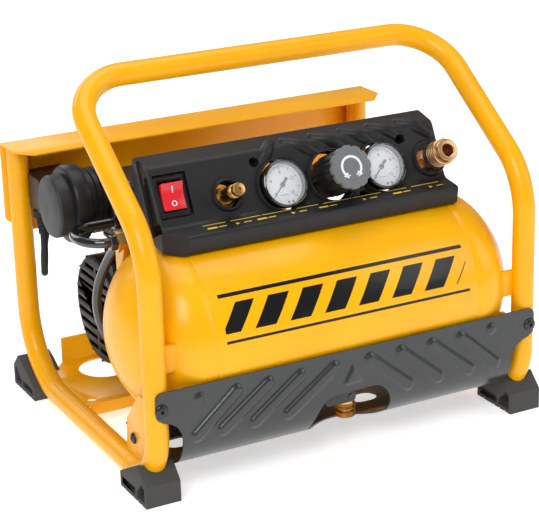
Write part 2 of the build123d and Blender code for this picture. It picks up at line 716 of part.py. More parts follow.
def switch_rocker():
    """Button with a shallow hollow top, turning on a pin across its middle."""
    half = rocker_length() / 2
    top, bottom = 4.5, -5.5
    outline = Line((-half, top - 0.5), (-half + 2, bottom)) + Line((-half + 2, bottom), (half - 2, bottom))
    outline += Line((half - 2, bottom), (half, top - 0.5)) + ThreePointArc((half, top - 0.5), (0, 1.8), (-half, top - 0.5))
    block = Plane.YZ * extrude(make_face(outline), rocker_width() / 2, both=True)
    block += Rot(0, 90, 0) * Cylinder(ROCKER_PIN_R, rocker_width() + 2.6)
    return FACE * Pos(SWITCH_X, SWITCH_S - 4, ROCKER_H) * Rot(ROCKER_REST, 0, 0) * block


def gauge_case(x):
    back, front = GAUGE_PROUD - GAUGE_DEPTH, GAUGE_PROUD
    case = rod(FACE, x, CENTRE_S, back, front, GAUGE_D / 2)
    rims = case.edges().filter_by(GeomType.CIRCLE)
    case = fillet(rims, 1.2)
    case -= rod(FACE, x, CENTRE_S, front - GAUGE_POCKET, front + 1, GAUGE_D / 2 - GAUGE_WALL)
    case -= rod(FACE, x, CENTRE_S, front - GAUGE_POCKET - 3, front, SPINDLE_R + RUN_FIT)
    stem = rod(FACE, x, CENTRE_S, MANIFOLD_H, back, PORT_R)
    return case + (stem - manifold_bar())


def gauge_dial(x):
    floor = GAUGE_PROUD - GAUGE_POCKET
    return ring(FACE, x, CENTRE_S, floor, floor + DIAL_T, GAUGE_D / 2 - GAUGE_WALL, SPINDLE_R + RUN_FIT)


def gauge_lens(x):
    top = GAUGE_PROUD - 0.8
    return rod(FACE, x, CENTRE_S, top - LENS_T, top, GAUGE_D / 2 - GAUGE_WALL)


def gauge_needle(x):
    """Pointer at zero, low on the left, with a short wide tail."""
    z = GAUGE_PROUD - GAUGE_POCKET + DIAL_T + MOVE_GAP
    pointer = Pos(-NEEDLE_LEN / 2, 0, 0) * Box(NEEDLE_LEN, 0.7, NEEDLE_T, align=BOTTOM_ALIGN)
    tail = Pos(NEEDLE_TAIL / 2, 0, 0) * Box(NEEDLE_TAIL, 2.2, NEEDLE_T, align=BOTTOM_ALIGN)
    hub = Cylinder(2, 1.4, align=BOTTOM_ALIGN) + Pos(0, 0, -3) * Cylinder(SPINDLE_R, 3, align=BOTTOM_ALIGN)
    return FACE * Pos(x, CENTRE_S, z) * Rot(0, 0, 45) * (pointer + tail + hub)


def manifold_bar():
    centre = manifold_centre()
    return along_x(centre.Y, centre.Z, VALVE_X - 12, COUPLER_X + 6, MANIFOLD_R)


def manifold():
    centre = manifold_centre()
    low = tank_surface_z(centre.Y) - 4
    pipe = Pos(STANDPIPE_X, centre.Y, low) * Cylinder(PORT_R + 2, centre.Z - low, align=BOTTOM_ALIGN)
    block = manifold_bar() + (pipe - TANK)
    return block - along_x(centre.Y, centre.Z, VALVE_X - 6, COUPLER_X, PORT_R - 2)


def regulator_body():
    body = rod(FACE, KNOB_X, CENTRE_S, -26, -8, KNOB_D / 2 - 2)
    body += rod(FACE, KNOB_X, CENTRE_S, -8, 14, BONNET_D / 2)
    return body + (rod(FACE, KNOB_X, CENTRE_S, MANIFOLD_H, -26, PORT_R + 2) - manifold_bar())


def regulator_knob():
    knob = rod(FACE, KNOB_X, CENTRE_S, -5, KNOB_PROUD, KNOB_D / 2)
    for i in range(KNOB_LOBES):
        spin = Rot(0, 0, i * 360 / KNOB_LOBES) * Pos(KNOB_D / 2 + 0.6, 0, 2)
        knob -= FACE * Pos(KNOB_X, CENTRE_S, 0) * spin * Cylinder(1.4, KNOB_PROUD - 4, align=BOTTOM_ALIGN)
    return knob - rod(FACE, KNOB_X, CENTRE_S, -6, 16, BONNET_D / 2 + MOVE_GAP)


def regulator_cap():
    cap = rod(FACE, KNOB_X, CENTRE_S, KNOB_PROUD, KNOB_PROUD + KNOB_CAP_H, KNOB_D / 2 + 0.6)
    for i in range(KNOB_LOBES):
        spin = Rot(0, 0, (i + 0.5) * 360 / KNOB_LOBES) * Pos(KNOB_D / 2 + 2.6, 0, -1)
        cap -= FACE * Pos(KNOB_X, CENTRE_S, KNOB_PROUD) * spin * Cylinder(3.2, 10, align=BOTTOM_ALIGN)
    return cap


def hexagon(x, h0, h1, flats):
    sketch = RegularPolygon(flats / 2, 6, major_radius=False)
    return FACE * Pos(x, CENTRE_S, h0) * extrude(sketch, h1 - h0)


def safety_valve_body():
    body = hexagon(VALVE_X, -14, -5, 14) + rod(FACE, VALVE_X, CENTRE_S, -5, 13, VALVE_D / 2)
    body += rod(FACE, VALVE_X, CENTRE_S, MANIFOLD_H, -14, PORT_R) - manifold_bar()
    return body - rod(FACE, VALVE_X, CENTRE_S, 0, 20, 2 + RUN_FIT)


def safety_valve_pull():
    pull = rod(FACE, VALVE_X, CENTRE_S, 13, VALVE_TIP, VALVE_D / 2)
    pull = fillet(pull.edges().filter_by(GeomType.CIRCLE), 0.8)
    pull += rod(FACE, VALVE_X, CENTRE_S, 2, 13, 2)
    return pull - rod(FACE, VALVE_X, CENTRE_S, VALVE_TIP - 5, VALVE_TIP + 1, 1.1)


def coupler_body():
    """Nipple, hexagon, barrel with the plug socket, and the ring that stops the sleeve."""
    x = COUPLER_X
    body = rod(FACE, x, CENTRE_S, MANIFOLD_H, -8, PORT_R + 1) - manifold_bar()
    body += hexagon(x, -8, 4, 15)
    body += rod(FACE, x, CENTRE_S, 4, COUPLER_TIP - 6, 7.5)
    body += rod(FACE, x, CENTRE_S, COUPLER_TIP - 6, COUPLER_TIP, COUPLER_D / 2 - 1.5)
    rim = body.edges().filter_by(GeomType.CIRCLE).sort_by(FACE_AXIS)[-1]
    body = fillet(rim, 1.2)
    return body - rod(FACE, x, CENTRE_S, COUPLER_TIP - SOCKET_DEPTH, COUPLER_TIP + 1, SOCKET_R)


FACE_AXIS = Axis((0, FACE_Y, FACE_Z), (0, -math.cos(TILT), math.sin(TILT)))


def coupler_sleeve():
    top = COUPLER_TIP - 6
    low = 4 + SLEEVE_TRAVEL + MOVE_GAP
    sleeve = ring(FACE, COUPLER_X, CENTRE_S, low, top, COUPLER_D / 2, 7.5 + RUN_FIT)
    for i in range(4):
        h = low + 3 + i * 3.2
        sleeve -= ring(FACE, COUPLER_X, CENTRE_S, h, h + 1, COUPLER_D, COUPLER_D / 2 - 0.8)
    return sleeve


# ---- drain tap -----------------------------------------------------------------------

def drain_body():
    top = tank_surface_z(DRAIN_Y, False) + 8
    waist = DRAIN_BOTTOM_Z + DRAIN_RING_H
    place = Pos(DRAIN_X, DRAIN_Y, 0)
    body = place * Pos(0, 0, waist + 1) * Cylinder(DRAIN_R, top - waist - 1, align=BOTTOM_ALIGN) - TANK
    for z in (DRAIN_BOTTOM_Z, waist + 1.5):
        body += place * Pos(0, 0, z) * Cylinder(DRAIN_R + DRAIN_RING, DRAIN_RING_H, align=BOTTOM_ALIGN)
    body += place * Pos(0, 0, waist) * Cylinder(DRAIN_R - 1.5, 2, align=BOTTOM_ALIGN)
    body -= place * Cylinder(DRAIN_BORE_R, 2 * (top + 1))
    return body - rod(FRONT, DRAIN_X, LEVER_Z, -DRAIN_Y - PLUG_R_IN, 0, PLUG_R_IN + RUN_FIT)


def drain_lever():
    """Quarter-turn lever with its spindle, cross-drilled for the passage."""
    back = DRAIN_Y - DRAIN_R - DRAIN_RING - MOVE_GAP
    sketch = Pos(-LEVER_LEN / 2, 0) * SlotOverall(LEVER_LEN + LEVER_W, LEVER_W)
    lever = facing_front(DRAIN_X, back, LEVER_Z) * extrude(sketch, LEVER_T)
    plug_end = DRAIN_Y + PLUG_R_IN - 1
    spindle = rod(FRONT, DRAIN_X, LEVER_Z, -plug_end, -back, PLUG_R_IN)
    rivet = rod(FRONT, DRAIN_X, LEVER_Z, -back, -back + LEVER_T + 0.8, 2.8)
    cross = along_x(DRAIN_Y, LEVER_Z, DRAIN_X - PLUG_R_IN - 1, DRAIN_X + PLUG_R_IN + 1, DRAIN_BORE_R)
    return lever + rivet + (spindle - cross)


# ---- pump and motor ------------------------------------------------------------------

def mount_places():
    middle = (CAN_X0 + CAN_X1) / 2
    return [(middle + dx, SHAFT_Y + dy) for dx in (-38, 38) for dy in (-18, 18)]


def motor_mounts():
    low = BASE_Z + SHEET
    pucks = [
        Pos(x, y, low) * Cylinder(MOUNT_D / 2, MOTOR_FOOT_Z - low, align=BOTTOM_ALIGN)
        + Pos(x, y, BASE_Z) * Cylinder(3, SHEET, align=BOTTOM_ALIGN)
        for x, y in mount_places()
    ]
    return Compound(pucks)


def motor_can():
    """Can with the stator in it, cooling fins, end shield and a foot plate."""
    can = along_x(SHAFT_Y, SHAFT_Z, CAN_X0, CAN_X1, CAN_R)
    can += box(CAN_X0 + 4, CAN_X1 - 4, SHAFT_Y - 28, SHAFT_Y + 28, MOTOR_FOOT_Z, SHAFT_Z - CAN_R + 12)
    can -= along_x(SHAFT_Y, SHAFT_Z, CAN_X0 - 1, CAN_X1 - BEARING_W - 4, CORE_R + AIR_GAP)
    can -= along_x(SHAFT_Y, SHAFT_Z, CAN_X1 - BEARING_W - 5, CAN_X1 - 4, BEARING_R)
    for i in range(7):
        x = CAN_X0 + 16 + i * 12
        can -= ring(SIDE, SHAFT_Y, SHAFT_Z, x, x + 5, CAN_R + 5, CAN_R - 3) - box(
            CAN_X0, CAN_X1, SHAFT_Y - 60, SHAFT_Y + 60, 0, SHAFT_Z - CAN_R + 12
        )
    return can


def motor_rotor():
    middle = (CAN_X0 + CAN_X1) / 2 - 8
    shaft = along_x(SHAFT_Y, SHAFT_Z, FAN_X0, CAN_X1 - 5, SHAFT_R)
    return shaft + along_x(SHAFT_Y, SHAFT_Z, middle - CORE_HALF, middle + CORE_HALF, CORE_R)


def bearing_places():
    return [CYL_X - CASE_HALF, CAN_X1 - BEARING_W - 4]


def motor_bearings():
    return Compound(
        [ring(SIDE, SHAFT_Y, SHAFT_Z, x, x + BEARING_W, BEARING_R, SHAFT_R + RUN_FIT) for x in bearing_places()]
    )


def crankcase():
    x0, x1 = CYL_X - CASE_HALF, CAN_X0
    case = along_x(SHAFT_Y, SHAFT_Z, x0, x1, CASE_R)
    seat = HEAD_Z - 34
    case += box(x0, x1, SHAFT_Y - HEAD_HALF, SHAFT_Y + HEAD_HALF, SHAFT_Z + 30, seat)
    case -= box(x0 - 1, x1 + 1, SHAFT_Y - CASE_R, SHAFT_Y + CASE_R, seat, seat + CASE_R)
    case -= along_x(SHAFT_Y, SHAFT_Z, x0 + BEARING_W, x1 + 1, CASE_R - CASE_WALL)
    case -= along_x(SHAFT_Y, SHAFT_Z, x0 - 1, x0 + BEARING_W + 1, BEARING_R)
    return case - Pos(CYL_X, SHAFT_Y, SHAFT_Z) * Cylinder(BORE_R, 60, align=BOTTOM_ALIGN)


def cylinder():
    low = HEAD_Z - 34
    barrel = Pos(CYL_X, SHAFT_Y, low) * Cylinder(BORE_R + 4, 34, align=BOTTOM_ALIGN)
    for z in (low + 2, low + 10, low + 18, low + 26):
        fin = Pos(CYL_X, SHAFT_Y, z) * Box(2 * CASE_HALF, 2 * HEAD_HALF - 2, 3, align=BOTTOM_ALIGN)
        barrel += fillet(fin.edges().filter_by(Axis.Z), 8)
    return barrel - Pos(CYL_X, SHAFT_Y, low - 1) * Cylinder(BORE_R, 36, align=BOTTOM_ALIGN)


def pump_head():
    """Head with intake and outlet chambers, and an ear for the outlet pipe."""
    block = box(HEAD_X0, HEAD_X1, SHAFT_Y - HEAD_HALF, SHAFT_Y + HEAD_HALF, HEAD_Z, HEAD_Z + HEAD_H)
    block = fillet(block.edges().filter_by(Axis.Z), 5)
    ear_y0 = PIPE_BACK_Y - 9
    block += box(HEAD_X0, HEAD_X0 + 24, ear_y0, SHAFT_Y - HEAD_HALF + 8, PIPE_Z - 10, PIPE_Z + 14)
    block -= along_x(FILTER_Y, FILTER_Z, HEAD_X0 - 1, HEAD_X0 + 26, 9)
    block -= along_x(PIPE_BACK_Y, PIPE_Z, HEAD_X0 - 1, HEAD_X0 + 16, PIPE_R)
    block -= box(CYL_X - 18, CYL_X + 18, SHAFT_Y - 18, SHAFT_Y - 2, HEAD_Z - 1, HEAD_Z + 12)
    block -= box(CYL_X - 18, CYL_X + 18, SHAFT_Y + 2, SHAFT_Y + 18, HEAD_Z - 1, HEAD_Z + 12)
    for x, y in bolt_places():
        block -= Pos(x, y, HEAD_Z - 1) * Cylinder(SCREW_D / 2, HEAD_H + 2, align=BOTTOM_ALIGN)
    return block


def bolt_places():
    return [(x, y) for x in (CYL_X - 24, CYL_X + 24) for y in (SHAFT_Y - 24, SHAFT_Y + 24)]


def head_bolts():
    top = HEAD_Z + HEAD_H
    bolts = []
    for x, y in bolt_places():
        head = Pos(x, y, top) * extrude(RegularPolygon(4, 6, major_radius=False), 4)
        bolts.append(head + Pos(x, y, HEAD_Z) * Cylinder(SCREW_D / 2, HEAD_H, align=BOTTOM_ALIGN))
    bolts.append(rod(SIDE, PIPE_BACK_Y, PIPE_Z + 9, HEAD_X0 - 4, HEAD_X0, 4))
    return Compound(bolts)


def piston_rod():
    """Rocking piston and rod in one, its big end open round the whole path of the crank pin."""
    eye_in = crank_ring_r() + STROKE + 1
    eye = ring(SIDE, SHAFT_Y, SHAFT_Z, CYL_X - 5, CYL_X + 5, eye_in + 4, eye_in)
    crown_z = HEAD_Z - STROKE / 2 - 8
    neck_z = SHAFT_Z + eye_in + 2
    rod_bar = box(CYL_X - 4, CYL_X + 4, SHAFT_Y - 6, SHAFT_Y + 6, neck_z, crown_z + 1)
    crown = Pos(CYL_X, SHAFT_Y, crown_z) * Cylinder(BORE_R - 2 * RUN_FIT, 7, align=BOTTOM_ALIGN)
    return eye + rod_bar + crown


def crank_ring_r():
    return SHAFT_R + STROKE / 2 - 1.5


def crank():
    """Disc with the crank pin and a counterweight, fixed on the shaft."""
    x0 = CYL_X + 5 + 1.5
    web = along_x(SHAFT_Y, SHAFT_Z, x0, x0 + 8, 16) + along_x(SHAFT_Y, SHAFT_Z - 10, x0, x0 + 8, 20)
    web -= along_x(SHAFT_Y, SHAFT_Z, x0 - 1, x0 + 9, SHAFT_R)
    pin_ring = along_x(SHAFT_Y, SHAFT_Z + STROKE / 2, CYL_X - 6, x0, crank_ring_r())
    pin_ring -= along_x(SHAFT_Y, SHAFT_Z, CYL_X - 8, x0 + 1, SHAFT_R)
    return web + pin_ring


def fan_wheel():
    wheel = along_x(SHAFT_Y, SHAFT_Z, FAN_X0, FAN_X0 + FAN_W, 12)
    blade = Pos(FAN_X0 + FAN_W / 2, 0, 26) * Rot(0, 0, 35) * Box(FAN_W * 0.9, 2, 30)
    for i in range(7):
        wheel += Pos(0, SHAFT_Y, SHAFT_Z) * Rot(i * 360 / 7, 0, 0) * blade
    wheel &= along_x(SHAFT_Y, SHAFT_Z, FAN_X0, FAN_X0 + FAN_W, FAN_R)
    return wheel - along_x(SHAFT_Y, SHAFT_Z, FAN_X0 - 1, FAN_X0 + FAN_W + 1, SHAFT_R)


def fan_cover():
    x1 = CYL_X - CASE_HALF
    cover = along_x(SHAFT_Y, SHAFT_Z, COVER_X0, x1, COVER_R)
    cover = fillet(cover.edges().sort_by(Axis.X)[0], 5)
    cover -= along_x(SHAFT_Y, SHAFT_Z, COVER_X0 + COVER_WALL, x1 + 1, COVER_R - COVER_WALL)
    for i in range(9):
        z = SHAFT_Z - 36 + i * 9
        reach = math.sqrt((COVER_R - 6) ** 2 - (z - SHAFT_Z) ** 2)
        cover -= box(COVER_X0 - 1, COVER_X0 + COVER_WALL + 1, SHAFT_Y - reach, SHAFT_Y + reach, z - 2, z + 2)
    return cover + side_slab(
        [(SHAFT_Y - 2, SHAFT_Z - 44), (SHAFT_Y + 2, SHAFT_Z - 44), (SHAFT_Y + 2, SHAFT_Z + 44), (SHAFT_Y - 2, SHAFT_Z + 44)],
        COVER_X0, COVER_X0 + COVER_WALL,
    )


def filter_base():
    base = along_x(FILTER_Y, FILTER_Z, FILTER_COLLAR_X0, FILTER_COLLAR_X1, FILTER_COLLAR_R)
    base = fillet(base.edges().filter_by(GeomType.CIRCLE), 3)
    base += along_x(FILTER_Y, FILTER_Z, FILTER_COLLAR_X1, HEAD_X0, FILTER_BODY_R)
    base += along_x(FILTER_Y, FILTER_Z, HEAD_X0, HEAD_X0 + 12, 9)
    base -= along_x(FILTER_Y, FILTER_Z, FILTER_COLLAR_X0 - 1, FILTER_COLLAR_X1 + 8, FILTER_CAP_R - 3)
    return base - along_x(FILTER_Y, FILTER_Z, FILTER_COLLAR_X0 - 1, HEAD_X0 + 13, 5)


def filter_cap():
    cap = along_x(FILTER_Y, FILTER_Z, FILTER_X0, FILTER_COLLAR_X0, FILTER_CAP_R)
    cap = fillet(cap.edges().sort_by(Axis.X)[0], 2.5)
    cap += ring(SIDE, FILTER_Y, FILTER_Z, FILTER_COLLAR_X0, FILTER_COLLAR_X0 + 8, FILTER_CAP_R - 3, FILTER_CAP_R - 5)
    return cap - along_x(FILTER_Y, FILTER_Z, FILTER_X0 + 2.5, FILTER_COLLAR_X0 + 1, FILTER_CAP_R - 5)


def discharge_pipe():
    points = [
        (HEAD_X0 + 12, PIPE_BACK_Y, PIPE_Z),
        (PIPE_LOOP_X, PIPE_BACK_Y, PIPE_Z),
        (PIPE_LOOP_X, CHECK_Y, PIPE_Z),
        (CHECK_X - CHECK_HALF, CHECK_Y, PIPE_Z),
    ]
    path = FilletPolyline(*points, radius=(PIPE_BACK_Y - CHECK_Y) / 2 - 0.8)
    return swept(path, PIPE_R) - swept(path, PIPE_R - 1)


def check_valve():
    """Hexagon body on the tank's shoulder, with a stem down to the bung."""
    side_hex = SIDE * Pos(CHECK_Y, PIPE_Z, CHECK_X - CHECK_HALF) * extrude(RegularPolygon(8, 6, major_radius=False), 2 * CHECK_HALF)
    stem = Pos(CHECK_X, CHECK_Y, PIPE_Z - 30) * Cylinder(7, 30, align=BOTTOM_ALIGN)
    return side_hex + stem - TANK


def transfer_tube():
    """Line from the check valve round behind the tank's end to the tank's lower back."""
    low = math.radians(40)
    end = (-124, TANK_Y + (TANK_R - 1) * math.cos(low), TANK_Z - (TANK_R - 1) * math.sin(low))
    out = (-126, TANK_Y + (TANK_R + 14) * math.cos(low), TANK_Z - (TANK_R + 14) * math.sin(low))
    points = [(CHECK_X, CHECK_Y + 4, PIPE_Z), (-146, 122, 172), (-157, 143, 138), (-157, 148, 100), (-142, 136, 68), out, end]
    radii = [route_radius(*points[i - 1:i + 2]) for i in range(1, len(points) - 1)]
    bar = swept(FilletPolyline(*points, radius=radii), PIPE_R)
    return bar - TANK - check_valve()


# ---- cord ----------------------------------------------------------------------------

def route_radius(before, point, after):
    """The largest neat arc at a point of a route."""
    a, b = Vector(*point) - Vector(*before), Vector(*after) - Vector(*point)
    half_turn = math.radians(a.get_angle(b)) / 2
    return 0.45 * min(a.length, b.length) / math.tan(half_turn)


CORD_ROUTE = [
    (GLAND_X, GLAND_Y, BOX_Z0 - GLAND_LEN),
    (GLAND_X, GLAND_Y, 132.0),
    (-161.0, 254.0, 112.0),
    (-154.0, 272.0, 103.0),
    (-147.0, 292.0, 112.0),
    (-140.0, 300.0, 134.0),
    (-129.0, 299.0, 158.0),
    (-108.0, 295.0, 177.0),
    (-82.0, 296.0, 174.0),
    (-62.0, 300.0, 152.0),
    (-54.0, 303.0, 122.0),
    (-46.0, 305.0, 58.0),
    (-38.0, 309.0, 28.0),
    (-20.0, 310.0, 8.0),
    (2.0, COIL_Y - COIL_MID_R - CORD_D / 2, CORD_D / 2),
    (COIL_X - 14.0, COIL_Y - COIL_MID_R - CORD_D / 2, CORD_D / 2),
]


def power_cord():
    radii = [route_radius(*CORD_ROUTE[i - 1:i + 2]) for i in range(1, len(CORD_ROUTE) - 1)]
    path = FilletPolyline(*CORD_ROUTE, radius=radii)
    cord = swept(path, CORD_D / 2)
    print("cord radii", [round(r, 1) for r in radii], "length", round(path.length, 1))
    print("cord volume", round(cord.volume, 1), "section x length", round(math.pi * CORD_D ** 2 / 4 * path.length, 1))
    return cord


def cord_coil():
    half_w = COIL_COLUMNS * CORD_D / 2
    height = COIL_ROWS * CORD_D
    disc = Pos(COIL_X, COIL_Y, 0) * Cylinder(COIL_MID_R + half_w, height, align=BOTTOM_ALIGN)
    return disc - Pos(COIL_X, COIL_Y, -1) * Cylinder(COIL_MID_R - half_w, height + 2, align=BOTTOM_ALIGN)


def cord_tie():
    """Band round the coil's bundle, on the side away from the object."""
    half_w, height = COIL_COLUMNS * CORD_D / 2, COIL_ROWS * CORD_D
    x = COIL_X - COIL_MID_R
    bundle = box(x - half_w - TIE_GAP, x + half_w + TIE_GAP, COIL_Y - TIE_W / 2, COIL_Y + TIE_W / 2, 0, height + TIE_GAP)
    outer = box(x - half_w - TIE_T, x + half_w + TIE_T, COIL_Y - TIE_W / 2, COIL_Y + TIE_W / 2, 0, height + TIE_T)
    return outer - bundle - cord_coil()


def terminal_box():
    body = box(BOX_X0, BOX_X1, BOX_Y0, BOX_Y1, BOX_Z0, BOX_Z1)
    body = fillet(body.edges().filter_by(Axis.Z), 3)
    body += box(LEG_X * -1 + TUBE_R + 2, BOX_X1, BOX_Y1 - 1, PANEL_FACE_Y, BOX_Z0 + 4, BOX_Z1 - 4)
    inside = box(BOX_X0 + 2, BOX_X1 - 2, BOX_Y0 + 2, BOX_Y1 - 2, BOX_Z0 + 2, BOX_Z1 - 2)
    return body - inside - Pos(GLAND_X, GLAND_Y, BOX_Z0) * Cylinder(5, 6)


def cord_gland():
    place = Pos(GLAND_X, GLAND_Y, 0)
    nut = place * Pos(0, 0, BOX_Z0 - 6) * Cylinder(8, 6, align=BOTTOM_ALIGN)
    taper = place * Pos(0, 0, BOX_Z0 - GLAND_LEN) * Cone(CORD_D / 2 + 1, 6, GLAND_LEN - 6, align=BOTTOM_ALIGN)
    return nut + taper + place * Pos(0, 0, BOX_Z0) * Cylinder(5, 3, align=BOTTOM_ALIGN)


def cord_clip():
    """Hook on the back of the rear panel that carries the cord."""
    r = CORD_D / 2 + CLIP_GAP
    x0, x1 = CLIP_X - 5, CLIP_X + 5
    clip = rod(SIDE, CLIP_Y, CLIP_Z, x0, x1, r + CLIP_WALL) - rod(SIDE, CLIP_Y, CLIP_Z, x0 - 1, x1 + 1, r)
    clip -= box(x0 - 1, x1 + 1, CLIP_Y - 3, CLIP_Y + r + 4, CLIP_Z, CLIP_Z + r + 4)
    clip += box(x0, x1, PANEL_BACK_Y, CLIP_Y - r, CLIP_Z - 8, CLIP_Z + 12)
    return clip


def plug():
    """Round plug lying on the floor, with two pins."""
    body = Pos(PLUG_X, PLUG_Y, PLUG_R) * Rot(0, 90, 0) * Cylinder(PLUG_R, PLUG_LEN * 0.6, align=BOTTOM_ALIGN)
    body = fillet(body.edges().filter_by(GeomType.CIRCLE), 2)
    tail = Pos(PLUG_X - PLUG_LEN * 0.4, PLUG_Y, PLUG_R) * Rot(0, 90, 0)
    body += tail * Cone(CORD_D / 2 + 2, PLUG_R - 3, PLUG_LEN * 0.4, align=BOTTOM_ALIGN)
    for side in (-1, 1):
        pin = Pos(PLUG_X + PLUG_LEN * 0.6, PLUG_Y + side * 9.5, PLUG_R) * Rot(0, 90, 0)
        body += pin * Cylinder(2.4, 19, align=BOTTOM_ALIGN)
    return body


# ---- write every piece ----------------------------------------------------------------

def main():
    os.makedirs("parts", exist_ok=True)
    rail = side_rail()
    bracket = tank_bracket()
    gusset_plate = gusset()
    front_foot = foot(True)
    rear_foot = foot(False)
    gauge_xs = {"left": KNOB_X - PITCH, "right": KNOB_X + PITCH}
    pieces = {
        "front_hoop": front_hoop(),
        "side_rail_left": rail,
        "side_rail_right": mirrored(rail),
        "rear_panel": rear_panel(),
        "base_plate": base_plate(),
        "gussets": Compound([gusset_plate, mirrored(gusset_plate)]),
        "air_tank": air_tank(),
        "tank_brackets": Compound([bracket, mirrored(bracket)]),
        "front_guard": front_guard(),
        "guard_screws": guard_screws(),
        "foot_front_left": front_foot,
        "foot_front_right": mirrored(front_foot),
        "foot_rear_left": rear_foot,
        "foot_rear_right": mirrored(rear_foot),
        "foot_screws": foot_screws(),
        "panel_housing": panel_housing(),
        "panel_screws": panel_screws(),
        "mounting_plate": mounting_plate(),
        "switch_frame": switch_frame(),
        "switch_rocker": switch_rocker(),
        "regulator_body": regulator_body(),
        "regulator_knob": regulator_knob(),
        "regulator_cap": regulator_cap(),
        "manifold": manifold(),
        "safety_valve_body": safety_valve_body(),
        "safety_valve_pull": safety_valve_pull(),
        "coupler_body": coupler_body(),
        "coupler_sleeve": coupler_sleeve(),
        "drain_body": drain_body(),
        "drain_lever": drain_lever(),
        "filter_cap": filter_cap(),
        "filter_base": filter_base(),
        "pump_head": pump_head(),
        "head_bolts": head_bolts(),
        "pump_cylinder": cylinder(),
        "crankcase": crankcase(),
        "piston_rod": piston_rod(),
        "crank": crank(),
        "motor_can": motor_can(),
        "motor_rotor": motor_rotor(),
        "motor_bearings": motor_bearings(),
        "motor_mounts": motor_mounts(),
        "fan_wheel": fan_wheel(),
        "fan_cover": fan_cover(),
        "discharge_pipe": discharge_pipe(),
        "check_valve": check_valve(),
        "transfer_tube": transfer_tube(),
        "terminal_box": terminal_box(),
        "cord_gland": cord_gland(),
        "cord_clip": cord_clip(),
        "power_cord": power_cord(),
        "cord_coil": cord_coil(),
        "cord_tie": cord_tie(),
        "plug": plug(),
    }
    for side, x in gauge_xs.items():
        pieces[f"gauge_case_{side}"] = gauge_case(x)
        pieces[f"gauge_needle_{side}"] = gauge_needle(x)
    pieces["gauge_dials"] = Compound([gauge_dial(x) for x in gauge_xs.values()])
    pieces["gauge_lenses"] = Compound([gauge_lens(x) for x in gauge_xs.values()])
    for name, shape in pieces.items():
        save(name, shape)


if __name__ == "__main__":
    main()
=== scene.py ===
import json
import logging
import math
from dataclasses import dataclass, field
from enum import Enum
from typing import Sequence

import bpy
from mathutils import Matrix, Vector

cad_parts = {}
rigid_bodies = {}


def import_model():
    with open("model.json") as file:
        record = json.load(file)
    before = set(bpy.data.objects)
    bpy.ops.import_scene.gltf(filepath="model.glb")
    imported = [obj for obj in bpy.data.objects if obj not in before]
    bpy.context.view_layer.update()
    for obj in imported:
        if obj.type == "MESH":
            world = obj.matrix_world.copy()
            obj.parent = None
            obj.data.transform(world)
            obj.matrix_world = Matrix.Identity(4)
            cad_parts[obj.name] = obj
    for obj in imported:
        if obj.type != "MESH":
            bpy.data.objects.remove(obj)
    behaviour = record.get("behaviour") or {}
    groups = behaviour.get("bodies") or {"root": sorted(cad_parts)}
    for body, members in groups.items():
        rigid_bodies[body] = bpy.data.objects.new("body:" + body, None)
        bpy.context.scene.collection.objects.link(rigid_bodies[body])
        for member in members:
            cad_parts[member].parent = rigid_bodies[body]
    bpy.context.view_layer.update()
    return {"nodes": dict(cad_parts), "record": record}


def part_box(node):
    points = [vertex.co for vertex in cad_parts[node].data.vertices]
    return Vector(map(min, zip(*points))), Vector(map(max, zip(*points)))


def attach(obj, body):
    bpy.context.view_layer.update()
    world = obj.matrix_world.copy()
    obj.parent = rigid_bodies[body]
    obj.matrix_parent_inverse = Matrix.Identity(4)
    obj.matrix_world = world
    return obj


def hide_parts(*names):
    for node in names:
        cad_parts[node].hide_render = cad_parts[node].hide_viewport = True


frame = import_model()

LOG = logging.getLogger("compressor")
MM = 0.001
MID_Y = 286.2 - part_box("rear_panel")[1][1] / MM
MACHINE = "machine"
Point = tuple[float, float, float]
Flat = tuple[float, float]


class Side(Enum):
    """Left or right of the middle."""

    LEFT = -1
    RIGHT = 1


def place(x: float, y: float, z: float) -> Vector:
    """Put a point, in millimetres with y from the front legs, in the row frame.

    Args:
        x: Across, to the right.
        y: Back from the front legs' axis.
        z: Up from the floor.

    Returns:
        The point in metres.
    """
    return Vector((x, y - MID_Y, z)) * MM


def frame_at(origin: Point, across: Point, out: Point) -> Matrix:
    """Build a working plane.

    Args:
        origin: The plane's origin in millimetres.
        across: The direction of its x axis.
        out: The direction of its z axis.

    Returns:
        The matrix that takes metres on the plane to the row frame.
    """
    z = Vector(out).normalized()
    x = Vector(across).normalized()
    y = z.cross(x)
    turn = Matrix((x, y, z)).transposed().to_4x4()
    return Matrix.Translation(place(*origin)) @ turn


@dataclass(frozen=True)
class InstrumentFace:
    """The leaning face that carries the instruments."""

    y: float = 55.0
    z: float = 202.0
    tilt: float = 26.0
    centre: float = 18.0

    def at(self, x: float, up: float, out: float = 0.0) -> Matrix:
        """Give a plane on the face.

        Args:
            x: Across.
            up: Distance up the face.
            out: Distance out of the face.

        Returns:
            The plane's matrix, its z axis out of the face and its y axis up it.
        """
        lean = math.radians(self.tilt)
        normal = (0.0, -math.cos(lean), math.sin(lean))
        origin = (
            x,
            self.y + up * math.sin(lean) + out * normal[1],
            self.z + up * math.cos(lean) + out * normal[2],
        )
        return frame_at(origin, (1, 0, 0), normal)


FACE = InstrumentFace()


def sideways(x: float, y: float, z: float) -> Matrix:
    """Give a plane whose x axis runs back, y axis up and z axis to the right."""
    return frame_at((x, y, z), (0, 1, 0), (1, 0, 0))


def forwards(x: float, y: float, z: float) -> Matrix:
    """Give a plane that faces the front, its x axis to the right and y axis up."""
    return frame_at((x, y, z), (1, 0, 0), (0, -1, 0))


def level(x: float, y: float, z: float) -> Matrix:
    """Give a level plane, its z axis up."""
    return frame_at((x, y, z), (1, 0, 0), (0, 0, 1))


# ---- finishes ------------------------------------------------------------------------


